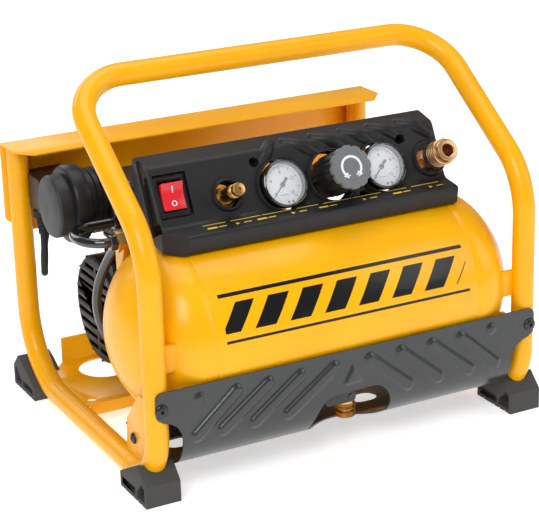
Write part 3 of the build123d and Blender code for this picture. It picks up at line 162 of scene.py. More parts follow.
class Nodes:
    """Short ways to add shader nodes to one material."""

    def __init__(self, material: bpy.types.Material) -> None:
        """Hold the material's tree."""
        self.tree = material.node_tree
        self.shader = self.tree.nodes["Principled BSDF"]
        self.spot = self.tree.nodes.new("ShaderNodeTexCoord").outputs["Object"]

    def join(self, source: bpy.types.NodeSocket, target: bpy.types.NodeSocket) -> None:
        """Link two sockets."""
        self.tree.links.new(source, target)

    def noise(
        self, scale: float, detail: float = 4.0, stretch: Point = (1, 1, 1)
    ) -> bpy.types.NodeSocket:
        """Add a noise pattern.

        Args:
            scale: Cells in a metre.
            detail: Octaves.
            stretch: Scale along each axis.

        Returns:
            The pattern's value socket.
        """
        mapping = self.tree.nodes.new("ShaderNodeMapping")
        mapping.inputs["Scale"].default_value = stretch
        self.join(self.spot, mapping.inputs["Vector"])
        noise = self.tree.nodes.new("ShaderNodeTexNoise")
        noise.inputs["Scale"].default_value = scale
        noise.inputs["Detail"].default_value = detail
        self.join(mapping.outputs["Vector"], noise.inputs["Vector"])
        return noise.outputs["Fac"]

    def spread(self, value: bpy.types.NodeSocket, low: float, high: float) -> bpy.types.NodeSocket:
        """Map the middle of a pattern to a range.

        Args:
            value: The pattern.
            low: Lowest result.
            high: Highest result.

        Returns:
            The mapped socket.
        """
        node = self.tree.nodes.new("ShaderNodeMapRange")
        node.inputs["From Min"].default_value = 0.3
        node.inputs["From Max"].default_value = 0.7
        node.inputs["To Min"].default_value = low
        node.inputs["To Max"].default_value = high
        self.join(value, node.inputs["Value"])
        return node.outputs["Result"]

    def sum(self, kind: str, a: object, b: object = 0.0, c: object = 0.0) -> bpy.types.NodeSocket:
        """Add a math node.

        Args:
            kind: The operation.
            a: First socket or number.
            b: Second socket or number.
            c: Third socket or number.

        Returns:
            The result socket.
        """
        node = self.tree.nodes.new("ShaderNodeMath")
        node.operation = kind
        for index, value in enumerate((a, b, c)):
            if isinstance(value, bpy.types.NodeSocket):
                self.join(value, node.inputs[index])
            else:
                node.inputs[index].default_value = float(value)
        return node.outputs[0]

    def mix(self, share: object, first: object, second: object) -> bpy.types.NodeSocket:
        """Mix two colours.

        Args:
            share: Socket or number from 0 to 1.
            first: Colour or socket at 0.
            second: Colour or socket at 1.

        Returns:
            The colour socket.
        """
        node = self.tree.nodes.new("ShaderNodeMix")
        node.data_type = "RGBA"
        for name, value in (("Factor_Float", share), ("A_Color", first), ("B_Color", second)):
            socket = next(s for s in node.inputs if s.identifier == name)
            if isinstance(value, bpy.types.NodeSocket):
                self.join(value, socket)
            elif name == "Factor_Float":
                socket.default_value = float(value)
            else:
                socket.default_value = (*value, 1.0)
        return next(s for s in node.outputs if s.identifier == "Result_Color")

    def bump(self, height: bpy.types.NodeSocket, strength: float, depth: float) -> None:
        """Raise the surface by a pattern.

        Args:
            height: The pattern.
            strength: Share of the effect.
            depth: Height of the pattern in metres.
        """
        node = self.tree.nodes.new("ShaderNodeBump")
        node.inputs["Strength"].default_value = strength
        node.inputs["Distance"].default_value = depth
        self.join(height, node.inputs["Height"])
        self.join(node.outputs["Normal"], self.shader.inputs["Normal"])


@dataclass(frozen=True)
class Finish:
    """A surface: its colour, gloss and fine grain."""

    name: str
    colour: Point
    rough: float = 0.4
    metal: float = 0.0
    coat: float = 0.0
    grain: float = 900.0
    depth: float = 0.00004
    uneven: float = 0.06
    tint: float = 0.06
    stretch: Point = (1, 1, 1)
    glass: float = 0.0
    shine: float = 0.5

    def colour_socket(self, nodes: Nodes) -> bpy.types.NodeSocket:
        """Give the slightly uneven colour of the surface."""
        dark = tuple(c * (1 - self.tint) for c in self.colour)
        light = tuple(min(1.0, c * (1 + self.tint)) for c in self.colour)
        return nodes.mix(nodes.spread(nodes.noise(22, 5), 0, 1), dark, light)

    def make(self) -> bpy.types.Material:
        """Build the material, once.

        Returns:
            The material of this name.
        """
        found = bpy.data.materials.get(self.name)
        if found:
            return found
        material = bpy.data.materials.new(self.name)
        material.use_nodes = True
        nodes = Nodes(material)
        shader = nodes.shader
        shader.inputs["Metallic"].default_value = self.metal
        shader.inputs["Coat Weight"].default_value = self.coat
        shader.inputs["Coat Roughness"].default_value = 0.08
        shader.inputs["Transmission Weight"].default_value = self.glass
        shader.inputs["Specular IOR Level"].default_value = self.shine
        nodes.join(self.colour_socket(nodes), shader.inputs["Base Color"])
        patches = nodes.noise(60, 6, self.stretch)
        low, high = max(0.02, self.rough - self.uneven), self.rough + self.uneven
        nodes.join(nodes.spread(patches, low, high), shader.inputs["Roughness"])
        nodes.bump(nodes.noise(self.grain, 3, self.stretch), 0.5, self.depth)
        return material


@dataclass(frozen=True)
class TankFinish(Finish):
    """Tank paint with two pinstripes and a row of slanted bars between them."""

    tank_y: float = 63.5
    tank_z: float = 113.0
    left: float = -112.0
    right: float = 112.0
    pitch: float = 31.0

    def colour_socket(self, nodes: Nodes) -> bpy.types.NodeSocket:
        """Give the paint's colour with the printed marks in it."""
        paint = Finish.colour_socket(self, nodes)
        split = nodes.tree.nodes.new("ShaderNodeSeparateXYZ")
        nodes.join(nodes.spot, split.inputs[0])
        x = nodes.sum("MULTIPLY", split.outputs[0], 1000)
        forward = nodes.sum("MULTIPLY_ADD", split.outputs[1], -1000, self.tank_y - MID_Y)
        up = nodes.sum("MULTIPLY_ADD", split.outputs[2], 1000, -self.tank_z)
        angle = nodes.sum("MULTIPLY", nodes.sum("ARCTAN2", up, forward), 180 / math.pi)

        def band(value: object, middle: float, half: float) -> bpy.types.NodeSocket:
            """Give 1 within half of the middle."""
            return nodes.sum("COMPARE", value, middle, half)

        span = band(x, (self.left + self.right) / 2, (self.right - self.left) / 2)
        stripes = nodes.sum("MAXIMUM", band(angle, 37.6, 1.25), band(angle, 8.6, 0.9))
        slant = nodes.sum("MULTIPLY_ADD", angle, -0.9, x)
        turn = nodes.sum("FRACT", nodes.sum("DIVIDE", nodes.sum("ADD", slant, 1000), self.pitch))
        bars = nodes.sum("MULTIPLY", band(turn, 0.36, 0.3), band(angle, 23.2, 9.2))
        bars = nodes.sum("MULTIPLY", bars, band(slant, -20, 108))
        marks = nodes.sum("MULTIPLY", span, nodes.sum("MAXIMUM", stripes, bars))
        return nodes.mix(marks, paint, (0.006, 0.006, 0.006))


@dataclass(frozen=True)
class CleanGlass(Finish):
    """The gauges' clear covers."""

    def make(self) -> bpy.types.Material:
        """Build the clear material."""
        material = Finish.make(self)
        shader = material.node_tree.nodes["Principled BSDF"]
        shader.inputs["IOR"].default_value = 1.45
        shader.inputs["Alpha"].default_value = 0.16
        return material


YELLOW = Finish(
    "yellow_powder_coat", (1.0, 0.44, 0.0), rough=0.33, coat=0.12, shine=0.3, grain=700,
    depth=0.00005
)
TANK_YELLOW = TankFinish(
    "tank_yellow", (1.0, 0.46, 0.0), rough=0.3, coat=0.14, shine=0.3, grain=520, depth=0.00005
)
GUARD_GREY = Finish(
    "guard_grey", (0.022, 0.025, 0.025), rough=0.3, coat=0.3, grain=900, depth=0.00006, tint=0.12
)
HOUSING = Finish(
    "housing_charcoal", (0.018, 0.018, 0.019), rough=0.42, grain=1700, depth=0.00008, shine=0.28
)
BLACK = Finish(
    "black_satin_plastic", (0.012, 0.012, 0.013), rough=0.38, grain=1500, depth=0.00005, shine=0.28
)
SPECKLE = Finish("filter_black", (0.016, 0.016, 0.016), rough=0.5, grain=480, depth=0.00022)
PUMP_BLACK = Finish(
    "pump_black_paint", (0.016, 0.016, 0.017), rough=0.4, grain=380, depth=0.0001, shine=0.28
)
GLOSS_BLACK = Finish(
    "pipe_gloss_black", (0.008, 0.008, 0.009), rough=0.14, coat=0.8, grain=300, depth=0.00002
)
RUBBER = Finish(
    "foot_rubber", (0.022, 0.021, 0.019), rough=0.66, grain=1300, depth=0.00012, tint=0.15
)
CORD_BLACK = Finish("cord_rubber", (0.009, 0.009, 0.009), rough=0.48, grain=900, depth=0.00004)
STEEL = Finish(
    "zinc_steel", (0.55, 0.55, 0.55), rough=0.28, metal=1.0, grain=900, depth=0.00003, tint=0.12
)
DARK_STEEL = Finish(
    "black_steel", (0.06, 0.06, 0.062), rough=0.3, metal=0.9, grain=800, depth=0.00004, tint=0.15
)
ALLOY = Finish(
    "cast_alloy", (0.22, 0.225, 0.23), rough=0.5, metal=1.0, grain=420, depth=0.00016, tint=0.1
)
BRASS = Finish(
    "turned_brass", (0.62, 0.36, 0.12), rough=0.3, metal=1.0, grain=800, depth=0.00003, tint=0.14
)
PALE_BRASS = Finish(
    "coupler_brass", (0.66, 0.42, 0.22), rough=0.33, metal=1.0, grain=700, depth=0.00003, tint=0.1
)
RED = Finish("rocker_red", (0.72, 0.008, 0.016), rough=0.22, coat=0.6, grain=500, depth=0.00002)
WHITE = Finish("print_white", (0.82, 0.84, 0.85), rough=0.5, tint=0.02)
DIAL = Finish("dial_white", (0.80, 0.86, 0.92), rough=0.45, tint=0.02, depth=0.00001)
INK = Finish("dial_ink", (0.012, 0.014, 0.02), rough=0.5)
GREY = Finish("cap_grey", (0.16, 0.165, 0.17), rough=0.42, grain=1500, depth=0.00006)
PRINT_YELLOW = Finish("print_yellow", (0.85, 0.55, 0.04), rough=0.5)
GLASS = CleanGlass("clear_cover", (0.95, 0.97, 1.0), rough=0.05, uneven=0.01, depth=0.00001)


# ---- shaping -------------------------------------------------------------------------


def soften(
    points: Sequence[Flat], radius: float, steps: int = 4, closed: bool = True
) -> list[Flat]:
    """Round the corners of an outline.

    Args:
        points: The outline's corners.
        radius: How far from each corner the rounding starts, at most.
        steps: Points in each rounding.
        closed: Whether the last point joins the first.

    Returns:
        The rounded outline.
    """
    count = len(points)
    result: list[Flat] = []
    for i, point in enumerate(points):
        here = Vector(point)
        if not closed and i in (0, count - 1):
            result.append(point)
            continue
        before, after = Vector(points[i - 1]), Vector(points[(i + 1) % count])
        a, b = before - here, after - here
        reach = min(radius, a.length * 0.48, b.length * 0.48)
        start, end = here + a.normalized() * reach, here + b.normalized() * reach
        for k in range(steps + 1):
            t = k / steps
            spot = start * (1 - t) ** 2 + here * 2 * t * (1 - t) + end * t ** 2
            result.append((spot.x, spot.y))
    return result


def bends(points: Sequence[Vector], radii: Sequence[float], steps: int = 14) -> list[Vector]:
    """Put a true arc at each corner of a bar's route.

    Args:
        points: The route's corners.
        radii: One bend radius for each inner corner.
        steps: Points in each arc.

    Returns:
        The route's points.
    """
    route = [points[0]]
    for i, radius in enumerate(radii, start=1):
        here = points[i]
        a, b = (points[i - 1] - here).normalized(), (points[i + 1] - here).normalized()
        half = a.angle(b) / 2
        centre = here + (a + b).normalized() * radius / math.sin(half)
        start, end = here + a * radius / math.tan(half), here + b * radius / math.tan(half)
        first, last = start - centre, end - centre
        sweep = first.angle(last)
        for k in range(steps + 1):
            t = k / steps
            spot = (
                first * math.sin((1 - t) * sweep) + last * math.sin(t * sweep)
            ) / math.sin(sweep)
            route.append(centre + spot)
    route.append(points[-1])
    return route


def clear() -> None:
    """Deselect everything."""
    if bpy.context.object and bpy.context.object.mode != "OBJECT":
        bpy.ops.object.mode_set(mode="OBJECT")
    bpy.ops.object.select_all(action="DESELECT")


def only(piece: bpy.types.Object) -> None:
    """Select one object and make it active."""
    clear()
    piece.select_set(True)
    bpy.context.view_layer.objects.active = piece


def start(name: str) -> bpy.types.Object:
    """Begin a piece with one selected vertex, in edit mode.

    Args:
        name: The piece's name.

    Returns:
        The new object.
    """
    clear()
    bpy.ops.mesh.primitive_plane_add(size=0.01)
    piece = bpy.context.object
    piece.name = name
    bpy.ops.object.mode_set(mode="EDIT")
    bpy.ops.mesh.select_all(action="SELECT")
    bpy.ops.mesh.merge(type="CENTER")
    return piece


def draw(points: Sequence[Point]) -> None:
    """Extrude the selected vertex along points, in metres."""
    here = Vector(points[0])
    bpy.ops.transform.translate(value=here)
    for point in points[1:]:
        step = Vector(point) - here
        bpy.ops.mesh.extrude_vertices_move(TRANSFORM_OT_translate={"value": step})
        here = Vector(point)


def settle(piece: bpy.types.Object, matrix: Matrix, smooth: float = 35.0) -> bpy.types.Object:
    """Put a piece in its place, with its place in its mesh, and smooth its gentle edges.

    Args:
        piece: The piece, made on a plane at the origin.
        matrix: The plane's place.
        smooth: Edges under this angle, in degrees, are smoothed.

    Returns:
        The piece.
    """
    only(piece)
    piece.matrix_world = matrix @ piece.matrix_world
    bpy.ops.object.transform_apply(location=True, rotation=True, scale=True)
    bpy.ops.object.shade_smooth_by_angle(angle=math.radians(smooth))
    return piece


def tidy(piece: bpy.types.Object) -> None:
    """Merge doubles and turn the faces outwards, in edit mode, then leave it."""
    bpy.ops.mesh.select_all(action="SELECT")
    bpy.ops.mesh.remove_doubles(threshold=0.000002)
    bpy.ops.mesh.normals_make_consistent(inside=False)
    bpy.ops.object.mode_set(mode="OBJECT")


def apply_modifiers(piece: bpy.types.Object) -> None:
    """Apply all of a piece's modifiers."""
    only(piece)
    for modifier in list(piece.modifiers):
        bpy.ops.object.modifier_apply(modifier=modifier.name)


def bevel(piece: bpy.types.Object, width: float, segments: int = 2, angle: float = 32.0) -> None:
    """Round a piece's sharp edges.

    Args:
        piece: The piece.
        width: Width in millimetres.
        segments: Faces across the rounding.
        angle: Edges sharper than this, in degrees, are rounded.
    """
    modifier = piece.modifiers.new("edges", "BEVEL")
    modifier.width = width * MM
    modifier.segments = segments
    modifier.limit_method = "ANGLE"
    modifier.angle_limit = math.radians(angle)
    modifier.use_clamp_overlap = True
    modifier.miter_outer = "MITER_ARC"
    apply_modifiers(piece)


def lathe(
    name: str, profile: Sequence[Flat], matrix: Matrix, steps: int = 72, smooth: float = 35.0
) -> bpy.types.Object:
    """Turn a profile round its plane's z axis.

    Args:
        name: The piece's name.
        profile: Radius and height pairs in millimetres.
        matrix: The plane.
        steps: Faces round the piece.
        smooth: Smoothing angle in degrees.

    Returns:
        The turned piece.
    """
    piece = start(name)
    draw([(r * MM, 0, h * MM) for r, h in profile])
    bpy.ops.mesh.select_all(action="SELECT")
    bpy.ops.mesh.spin(steps=steps, angle=math.tau, center=(0, 0, 0), axis=(0, 0, 1))
    tidy(piece)
    return settle(piece, matrix, smooth)


def slab(
    name: str, outline: Sequence[Flat], depth: float, matrix: Matrix,
    edge: float = 0.4, segments: int = 2
) -> bpy.types.Object:
    """Fill an outline and give it thickness along its plane's z axis.

    Args:
        name: The piece's name.
        outline: The corners in millimetres.
        depth: Thickness in millimetres.
        matrix: The plane.
        edge: Width of the rounded edges.
        segments: Faces across the rounding.

    Returns:
        The piece.
    """
    piece = start(name)
    draw([(x * MM, y * MM, 0) for x, y in [*outline, outline[0]]])
    bpy.ops.mesh.select_all(action="SELECT")
    bpy.ops.mesh.remove_doubles(threshold=0.000001)
    bpy.ops.mesh.edge_face_add()
    bpy.ops.mesh.extrude_region_move(TRANSFORM_OT_translate={"value": (0, 0, depth * MM)})
    tidy(piece)
    if edge:
        bevel(piece, edge, segments)
    return settle(piece, matrix)


def block(
    name: str, size: Point, matrix: Matrix, edge: float = 0.4, segments: int = 2
) -> bpy.types.Object:
    """Make a rounded block, centred across its plane and standing on it."""
    w, d = size[0] / 2, size[1] / 2
    return slab(name, [(-w, -d), (w, -d), (w, d), (-w, d)], size[2], matrix, edge, segments)


def bar(name: str, route: Sequence[Vector], radius: float, sides: int = 12) -> bpy.types.Object:
    """Run a round bar or tube along a route.

    Args:
        name: The piece's name.
        route: Points in metres, in the row frame.
        radius: Outer radius in millimetres.
        sides: Quarter of the faces round the bar.

    Returns:
        The bar as a mesh.
    """
    curve = bpy.data.curves.new(name, "CURVE")
    curve.dimensions = "3D"
    curve.bevel_depth = radius * MM
    curve.bevel_resolution = sides
    curve.use_fill_caps = True
    spline = curve.splines.new("POLY")
    spline.points.add(len(route) - 1)
    for point, spot in zip(spline.points, route):
        point.co = (*spot, 1)
    piece = bpy.data.objects.new(name, curve)
    bpy.context.collection.objects.link(piece)
    only(piece)
    bpy.ops.object.convert(target="MESH")
    piece = bpy.context.object
    bpy.ops.object.mode_set(mode="EDIT")
    tidy(piece)
    return settle(piece, Matrix.Identity(4), 45)


def cut(piece: bpy.types.Object, tool: bpy.types.Object, join: bool = False) -> bpy.types.Object:
    """Cut a tool out of a piece, or fuse it on.

    Args:
        piece: The piece.
        tool: The shape to take away or add; it is used up.
        join: True to add.

    Returns:
        The piece.
    """
    modifier = piece.modifiers.new("cut", "BOOLEAN")
    modifier.operation = "UNION" if join else "DIFFERENCE"
    modifier.solver = "EXACT"
    modifier.object = tool
    apply_modifiers(piece)
    bpy.data.objects.remove(tool, do_unlink=True)
    return piece


def merged(name: str, pieces: Sequence[bpy.types.Object]) -> bpy.types.Object:
    """Join several meshes into one piece.

    Args:
        name: The result's name.
        pieces: The meshes.

    Returns:
        The joined piece.
    """
    clear()
    for piece in pieces:
        piece.select_set(True)
    bpy.context.view_layer.objects.active = pieces[0]
    if len(pieces) > 1:
        bpy.ops.object.join()
    pieces[0].name = name
    return pieces[0]


def finish(
    piece: bpy.types.Object, look: Finish, body: str = MACHINE, nodes: Sequence[str] = ()
) -> bpy.types.Object:
    """Dress a piece, make it ride on its body and stand for its CAD nodes.

    Args:
        piece: The piece.
        look: Its finish.
        body: The CAD body it rides on.
        nodes: The CAD nodes it stands for.

    Returns:
        The piece.
    """
    piece.data.materials.clear()
    piece.data.materials.append(look.make())
    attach(piece, body)
    if nodes:
        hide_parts(*nodes)
    LOG.info("%s: %d faces on %s", piece.name, len(piece.data.polygons), body)
    return piece


def body_of(node: str) -> str:
    """Give the body that a CAD node is in."""
    bodies = frame["record"]["behaviour"]["bodies"]
    return next(name for name, nodes in bodies.items() if node in nodes)


def dress(node: str, look: Finish, edge: float = 0.5, segments: int = 2) -> bpy.types.Object:
    """Stand a rounded, smooth copy in for a CAD node whose shape is right.

    Args:
        node: The CAD node.
        look: Its finish.
        edge: Width of its rounded edges in millimetres.
        segments: Faces across a rounded edge.

    Returns:
        The copy.
    """
    only(frame["nodes"][node])
    bpy.ops.object.duplicate(linked=False)
    piece = bpy.context.object
    piece.name = f"{node}_finished"
    bpy.ops.object.parent_clear(type="CLEAR_KEEP_TRANSFORM")
    for key in [k for k in piece.keys() if k.startswith("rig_")]:
        del piece[key]
    bpy.ops.object.mode_set(mode="EDIT")
    bpy.ops.mesh.select_all(action="SELECT")
    bpy.ops.mesh.remove_doubles(threshold=0.000005)
    bpy.ops.mesh.dissolve_limited(angle_limit=math.radians(1.0))
    bpy.ops.object.mode_set(mode="OBJECT")
    if edge:
        bevel(piece, edge, segments, 38)
    only(piece)
    bpy.ops.object.shade_smooth_by_angle(angle=math.radians(35))
    return finish(piece, look, body_of(node), [node])


def label(
    name: str, words: str, size: float, matrix: Matrix, height: float = 0.12
) -> bpy.types.Object:
    """Make figures as thin raised print.

    Args:
        name: The piece's name.
        words: The figures.
        size: Letter size in millimetres.
        matrix: The plane of the print.
        height: How far it stands up, in millimetres.

    Returns:
        The print as a mesh.
    """
    clear()
    bpy.ops.object.text_add()
    piece = bpy.context.object
    piece.name = name
    piece.data.body = words
    piece.data.size = size * MM
    piece.data.align_x = "CENTER"
    piece.data.align_y = "CENTER"
    piece.data.extrude = height * MM / 2
    bpy.ops.object.convert(target="MESH")
    return settle(bpy.context.object, matrix)


def capsule(length: float, width: float, steps: int = 8) -> list[Flat]:
    """Give the outline of a slot with round ends, lying along x."""
    r, half = width / 2, (length - width) / 2
    right = [
        (half + r * math.cos(a), r * math.sin(a)) for a in [
            math.radians(-90 + 180 * k / steps) for k in range(steps + 1)
        ]
    ]
    return right + [(-x, -y) for x, y in right]


def circle(radius: float, steps: int = 48, x: float = 0.0, y: float = 0.0) -> list[Flat]:
    """Give the outline of a circle."""
    return [
        (
            x + radius * math.cos(math.tau * k / steps),
            y + radius * math.sin(math.tau * k / steps)
        ) for k in range(steps)
    ]


# ---- camera, light and cord ------------------------------------------------------------


@dataclass
class Studio:
    """Camera, lights and floor."""

    azimuth: float = -27.393
    elevation: float = 19.633
    roll: float = -1.637
    lens: float = 120.07
    spot: Point = (-672.0, -1163.9, 645.3)

    def camera(self) -> None:
        """Stand the camera at the viewing angle."""
        a, e, r = (math.radians(v) for v in (self.azimuth, self.elevation, self.roll))
        back = Vector((math.sin(a) * math.cos(e), -math.cos(a) * math.cos(e), math.sin(e)))
        right = (-back).cross(Vector((0, 0, 1))).normalized()
        up = back.cross(right).normalized()
        across = right * math.cos(r) + up * math.sin(r)
        above = up * math.cos(r) - right * math.sin(r)
        data = bpy.data.cameras.new("camera")
        data.lens = self.lens
        data.sensor_width = 36.0
        data.clip_start = 0.05
        camera = bpy.data.objects.new("camera", data)
        bpy.context.collection.objects.link(camera)
        turn = Matrix((across, above, back)).transposed().to_4x4()
        camera.matrix_world = Matrix.Translation(place(*self.spot)) @ turn
        bpy.context.scene.camera = camera

    def lamp(self, name: str, spot: Point, aim: Point, size: Flat, watts: float) -> None:
        """Hang one soft light.

        Args:
            name: The light's name.
            spot: Where it hangs, in metres.
            aim: What it points at, in metres.
            size: Its width and height in metres.
            watts: Its power.
        """
        data = bpy.data.lights.new(name, "AREA")
        data.shape = "RECTANGLE"
        data.size, data.size_y = size
        data.energy = watts
        lamp = bpy.data.objects.new(name, data)
        bpy.context.collection.objects.link(lamp)
        lamp.location = spot
        lamp.rotation_euler = (Vector(aim) - Vector(spot)).to_track_quat("-Z", "Y").to_euler()

    def build(self) -> None:
        """Set up the camera, the lights and the pale floor."""
        self.camera()
        self.lamp("key", (-1.2, -1.4, 1.7), (0, 0, 0.1), (1.1, 1.1), 27)
        self.lamp("fill", (1.6, -1.2, 1.1), (0, 0, 0.15), (1.2, 1.4), 10)
        self.lamp("top", (0.1, 0.3, 2.0), (0, 0, 0.1), (1.6, 1.6), 18)
        self.lamp("back", (-0.4, 1.8, 1.1), (0, 0, 0.2), (1.6, 0.9), 9)
        world = bpy.data.worlds.new("studio")
        world.use_nodes = True
        world.node_tree.nodes["Background"].inputs[0].default_value = (0.95, 0.97, 1.0, 1)
        world.node_tree.nodes["Background"].inputs[1].default_value = 0.24
        bpy.context.scene.world = world
        clear()
        bpy.ops.mesh.primitive_plane_add(size=14, location=(0, 0, -0.0004))
        floor = bpy.context.object
        floor.name = "floor"
        look = Finish("floor_white", (0.93, 0.93, 0.93), rough=0.75, tint=0.01, depth=0.00001)
        white = look.make()
        shader = white.node_tree.nodes["Principled BSDF"]
        shader.inputs["Emission Color"].default_value = (1, 1, 1, 1)
        shader.inputs["Emission Strength"].default_value = 0.55
        floor.data.materials.append(white)
        bpy.context.scene.view_settings.view_transform = "Standard"
        LOG.info("studio set")


@dataclass
class PowerCord:
    """The lead: its hanging loop, its run behind the machine, its coil and its plug."""

    thick: float = 6.2
    coil: Point = (42.0, 345.0, 0.0)
    coil_radius: float = 34.0
    per_turn: int = 18
    route: list[Point] = field(
        default_factory=lambda: [
            (-162.0, 246.0, 150.0),
            (-162.0, 246.0, 132.0),
            (-161.0, 254.0, 112.0),
            (-154.0, 272.0, 103.0),
            (-147.0, 292.0, 112.0),
            (-140.0, 300.0, 134.0),
            (-129.0, 299.0, 158.0),
            (-108.0, 295.0, 177.0),
            (-82.0, 296.0, 174.0),
            (-62.0, 300.0, 152.0),
            (-54.0, 303.0, 122.0),
            (-46.0, 305.0, 58.0),
            (-38.0, 309.0, 28.0),
            (-20.0, 310.0, 8.0),
            (2.0, 307.9, 3.1),
            (28.0, 307.9, 3.1),
        ]
    )

    def coil_points(self) -> list[Point]:
        """Lay the turns in four layers of two, each step 60 degrees before the last.

        Returns:
            The coil's points, in millimetres.
        """
        half = self.thick / 2
        radius, height = self.coil_radius + half, half
        moves = [(-self.thick, 0), (0, self.thick), (self.thick, 0), (0, self.thick)]
        swell = 1 / math.cos(math.pi / self.per_turn) ** 0.7
        points: list[Point] = []
        angle, stride = -90.0, 360.0 / self.per_turn
        step = 0
        while angle <= 2070.0:
            begin = 210.0 + 300.0 * step
            share = min(1.0, max(0.0, (angle - begin) / 60.0))
            grow, rise = moves[step % 4]
            r = (radius + grow * share) * swell
            a = math.radians(angle)
            points.append(
                (
                    self.coil[0] + r * math.cos(a), self.coil[1] + r * math.sin(a),
                    height + rise * share
                )
            )
            angle += stride
            if angle >= begin + 60.0 and step < 6:
                radius, height, step = radius + grow, height + rise, step + 1
        return points

    def build(self) -> None:
        tail = [(56.0, 307.9, 20.9), (66.0, 308.4, 18.6), (76.5, 309.0, 17.0)]
        points = self.route + self.coil_points()[1:] + tail
        curve = bpy.data.curves.new("power_lead", "CURVE")
        curve.dimensions = "3D"
        curve.bevel_depth = self.thick / 2 * MM
        curve.bevel_resolution = 6
        curve.resolution_u = 6
        curve.use_fill_caps = True
        spline = curve.splines.new("NURBS")
        spline.points.add(len(points) - 1)
        for point, spot in zip(spline.points, points):
            point.co = (*place(*spot), 1)
        spline.order_u = 3
        spline.use_endpoint_u = True
        lead = bpy.data.objects.new("power_lead", curve)
        bpy.context.collection.objects.link(lead)
        curve.materials.append(CORD_BLACK.make())
        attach(lead, MACHINE)
        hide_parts("power_cord", "cord_coil")
        plug = dress("plug", CORD_BLACK, 1.2, 3)
        tie = dress("cord_tie", BLACK, 0.3)
        gland = self.gland()

    def gland(self) -> bpy.types.Object:
        """Turn the ribbed, tapered strain relief."""
        profile = [(3.2, -22.0), (4.1, -22.0)]
        for k in range(4):
            r, h = 4.3 + 0.4 * k, -21.0 + 3.7 * k
            profile += [(r, h), (r, h + 2.4), (r - 0.6, h + 2.7), (r - 0.5, h + 3.5)]
        profile += [(8.0, -6.0), (8.0, -0.3), (7.6, 0.0), (5.0, 0.0), (5.0, 3.0), (0.0, 3.0)]
        return finish(
            lathe("strain_relief", profile, level(-162, 246, 172), 40), CORD_BLACK, MACHINE,
            ["cord_gland"]
        )


# ---- cage ------------------------------------------------------------------------------


@dataclass
class Cage:
    """The bent tubes, sheets and feet of the cage."""

    leg: float = 171.0
    tube: float = 9.5
    rail_z: float = 12.0
    tail_y: float = 50.0

    def hoop_route(self) -> list[Vector]:
        """Give the front hoop's bent route."""
        x, low = self.leg, self.rail_z
        half = [(-x, self.tail_y, low), (-x, 0, low), (-x, 0, 207.6), (-x, 141.3, 307.8)]
        corners = [place(*p) for p in half + [(-a, b, c) for a, b, c in reversed(half)]]
        return bends(corners, [r * MM for r in (45, 64, 46, 46, 64, 45)], 18)

    def rail_route(self, side: Side) -> list[Vector]:
        """Give a side rail's bent route."""
        x = side.value * self.leg
        corners = [(x, self.tail_y, self.rail_z), (x, 274.7, self.rail_z), (x, 274.7, 223.4)]
        return bends([place(*p) for p in corners], [65 * MM], 20)

    def weld(self, name: str, spot: Point, radius: float) -> bpy.types.Object:
        """Run a small weld bead round a tube's butt joint."""
        profile = [
            (radius - 0.4, -1.6), (radius + 0.35, -1.0), (radius + 0.5, 0), (radius + 0.35, 1.0),
            (radius - 0.4, 1.6)
        ]
        bead = lathe(name, profile, frame_at(spot, (1, 0, 0), (0, 1, 0)), 48, 80)
        return bead

    def build(self) -> None:
        """Make the tubes, the sheets and the feet."""
        finish(
            bar("front_hoop_tube", self.hoop_route(), self.tube), YELLOW, MACHINE, ["front_hoop"]
        )
        for side in Side:
            name = side.name.lower()
            finish(
                bar(f"rail_tube_{name}", self.rail_route(side), self.tube), YELLOW, MACHINE,
                [f"side_rail_{name}"]
            )
            bead = self.weld(
                f"rail_weld_{name}", (side.value * self.leg, self.tail_y, self.rail_z), self.tube
            )
            finish(bead, YELLOW)
            for end in ("front", "rear"):
                dress(f"foot_{end}_{name}", RUBBER, 1.1, 3)
        dress("rear_panel", YELLOW, 0.5)
        dress("base_plate", YELLOW, 0.45)
        dress("gussets", YELLOW, 0.5)
        dress("tank_brackets", YELLOW, 0.4)
        dress("foot_screws", STEEL, 0.2)


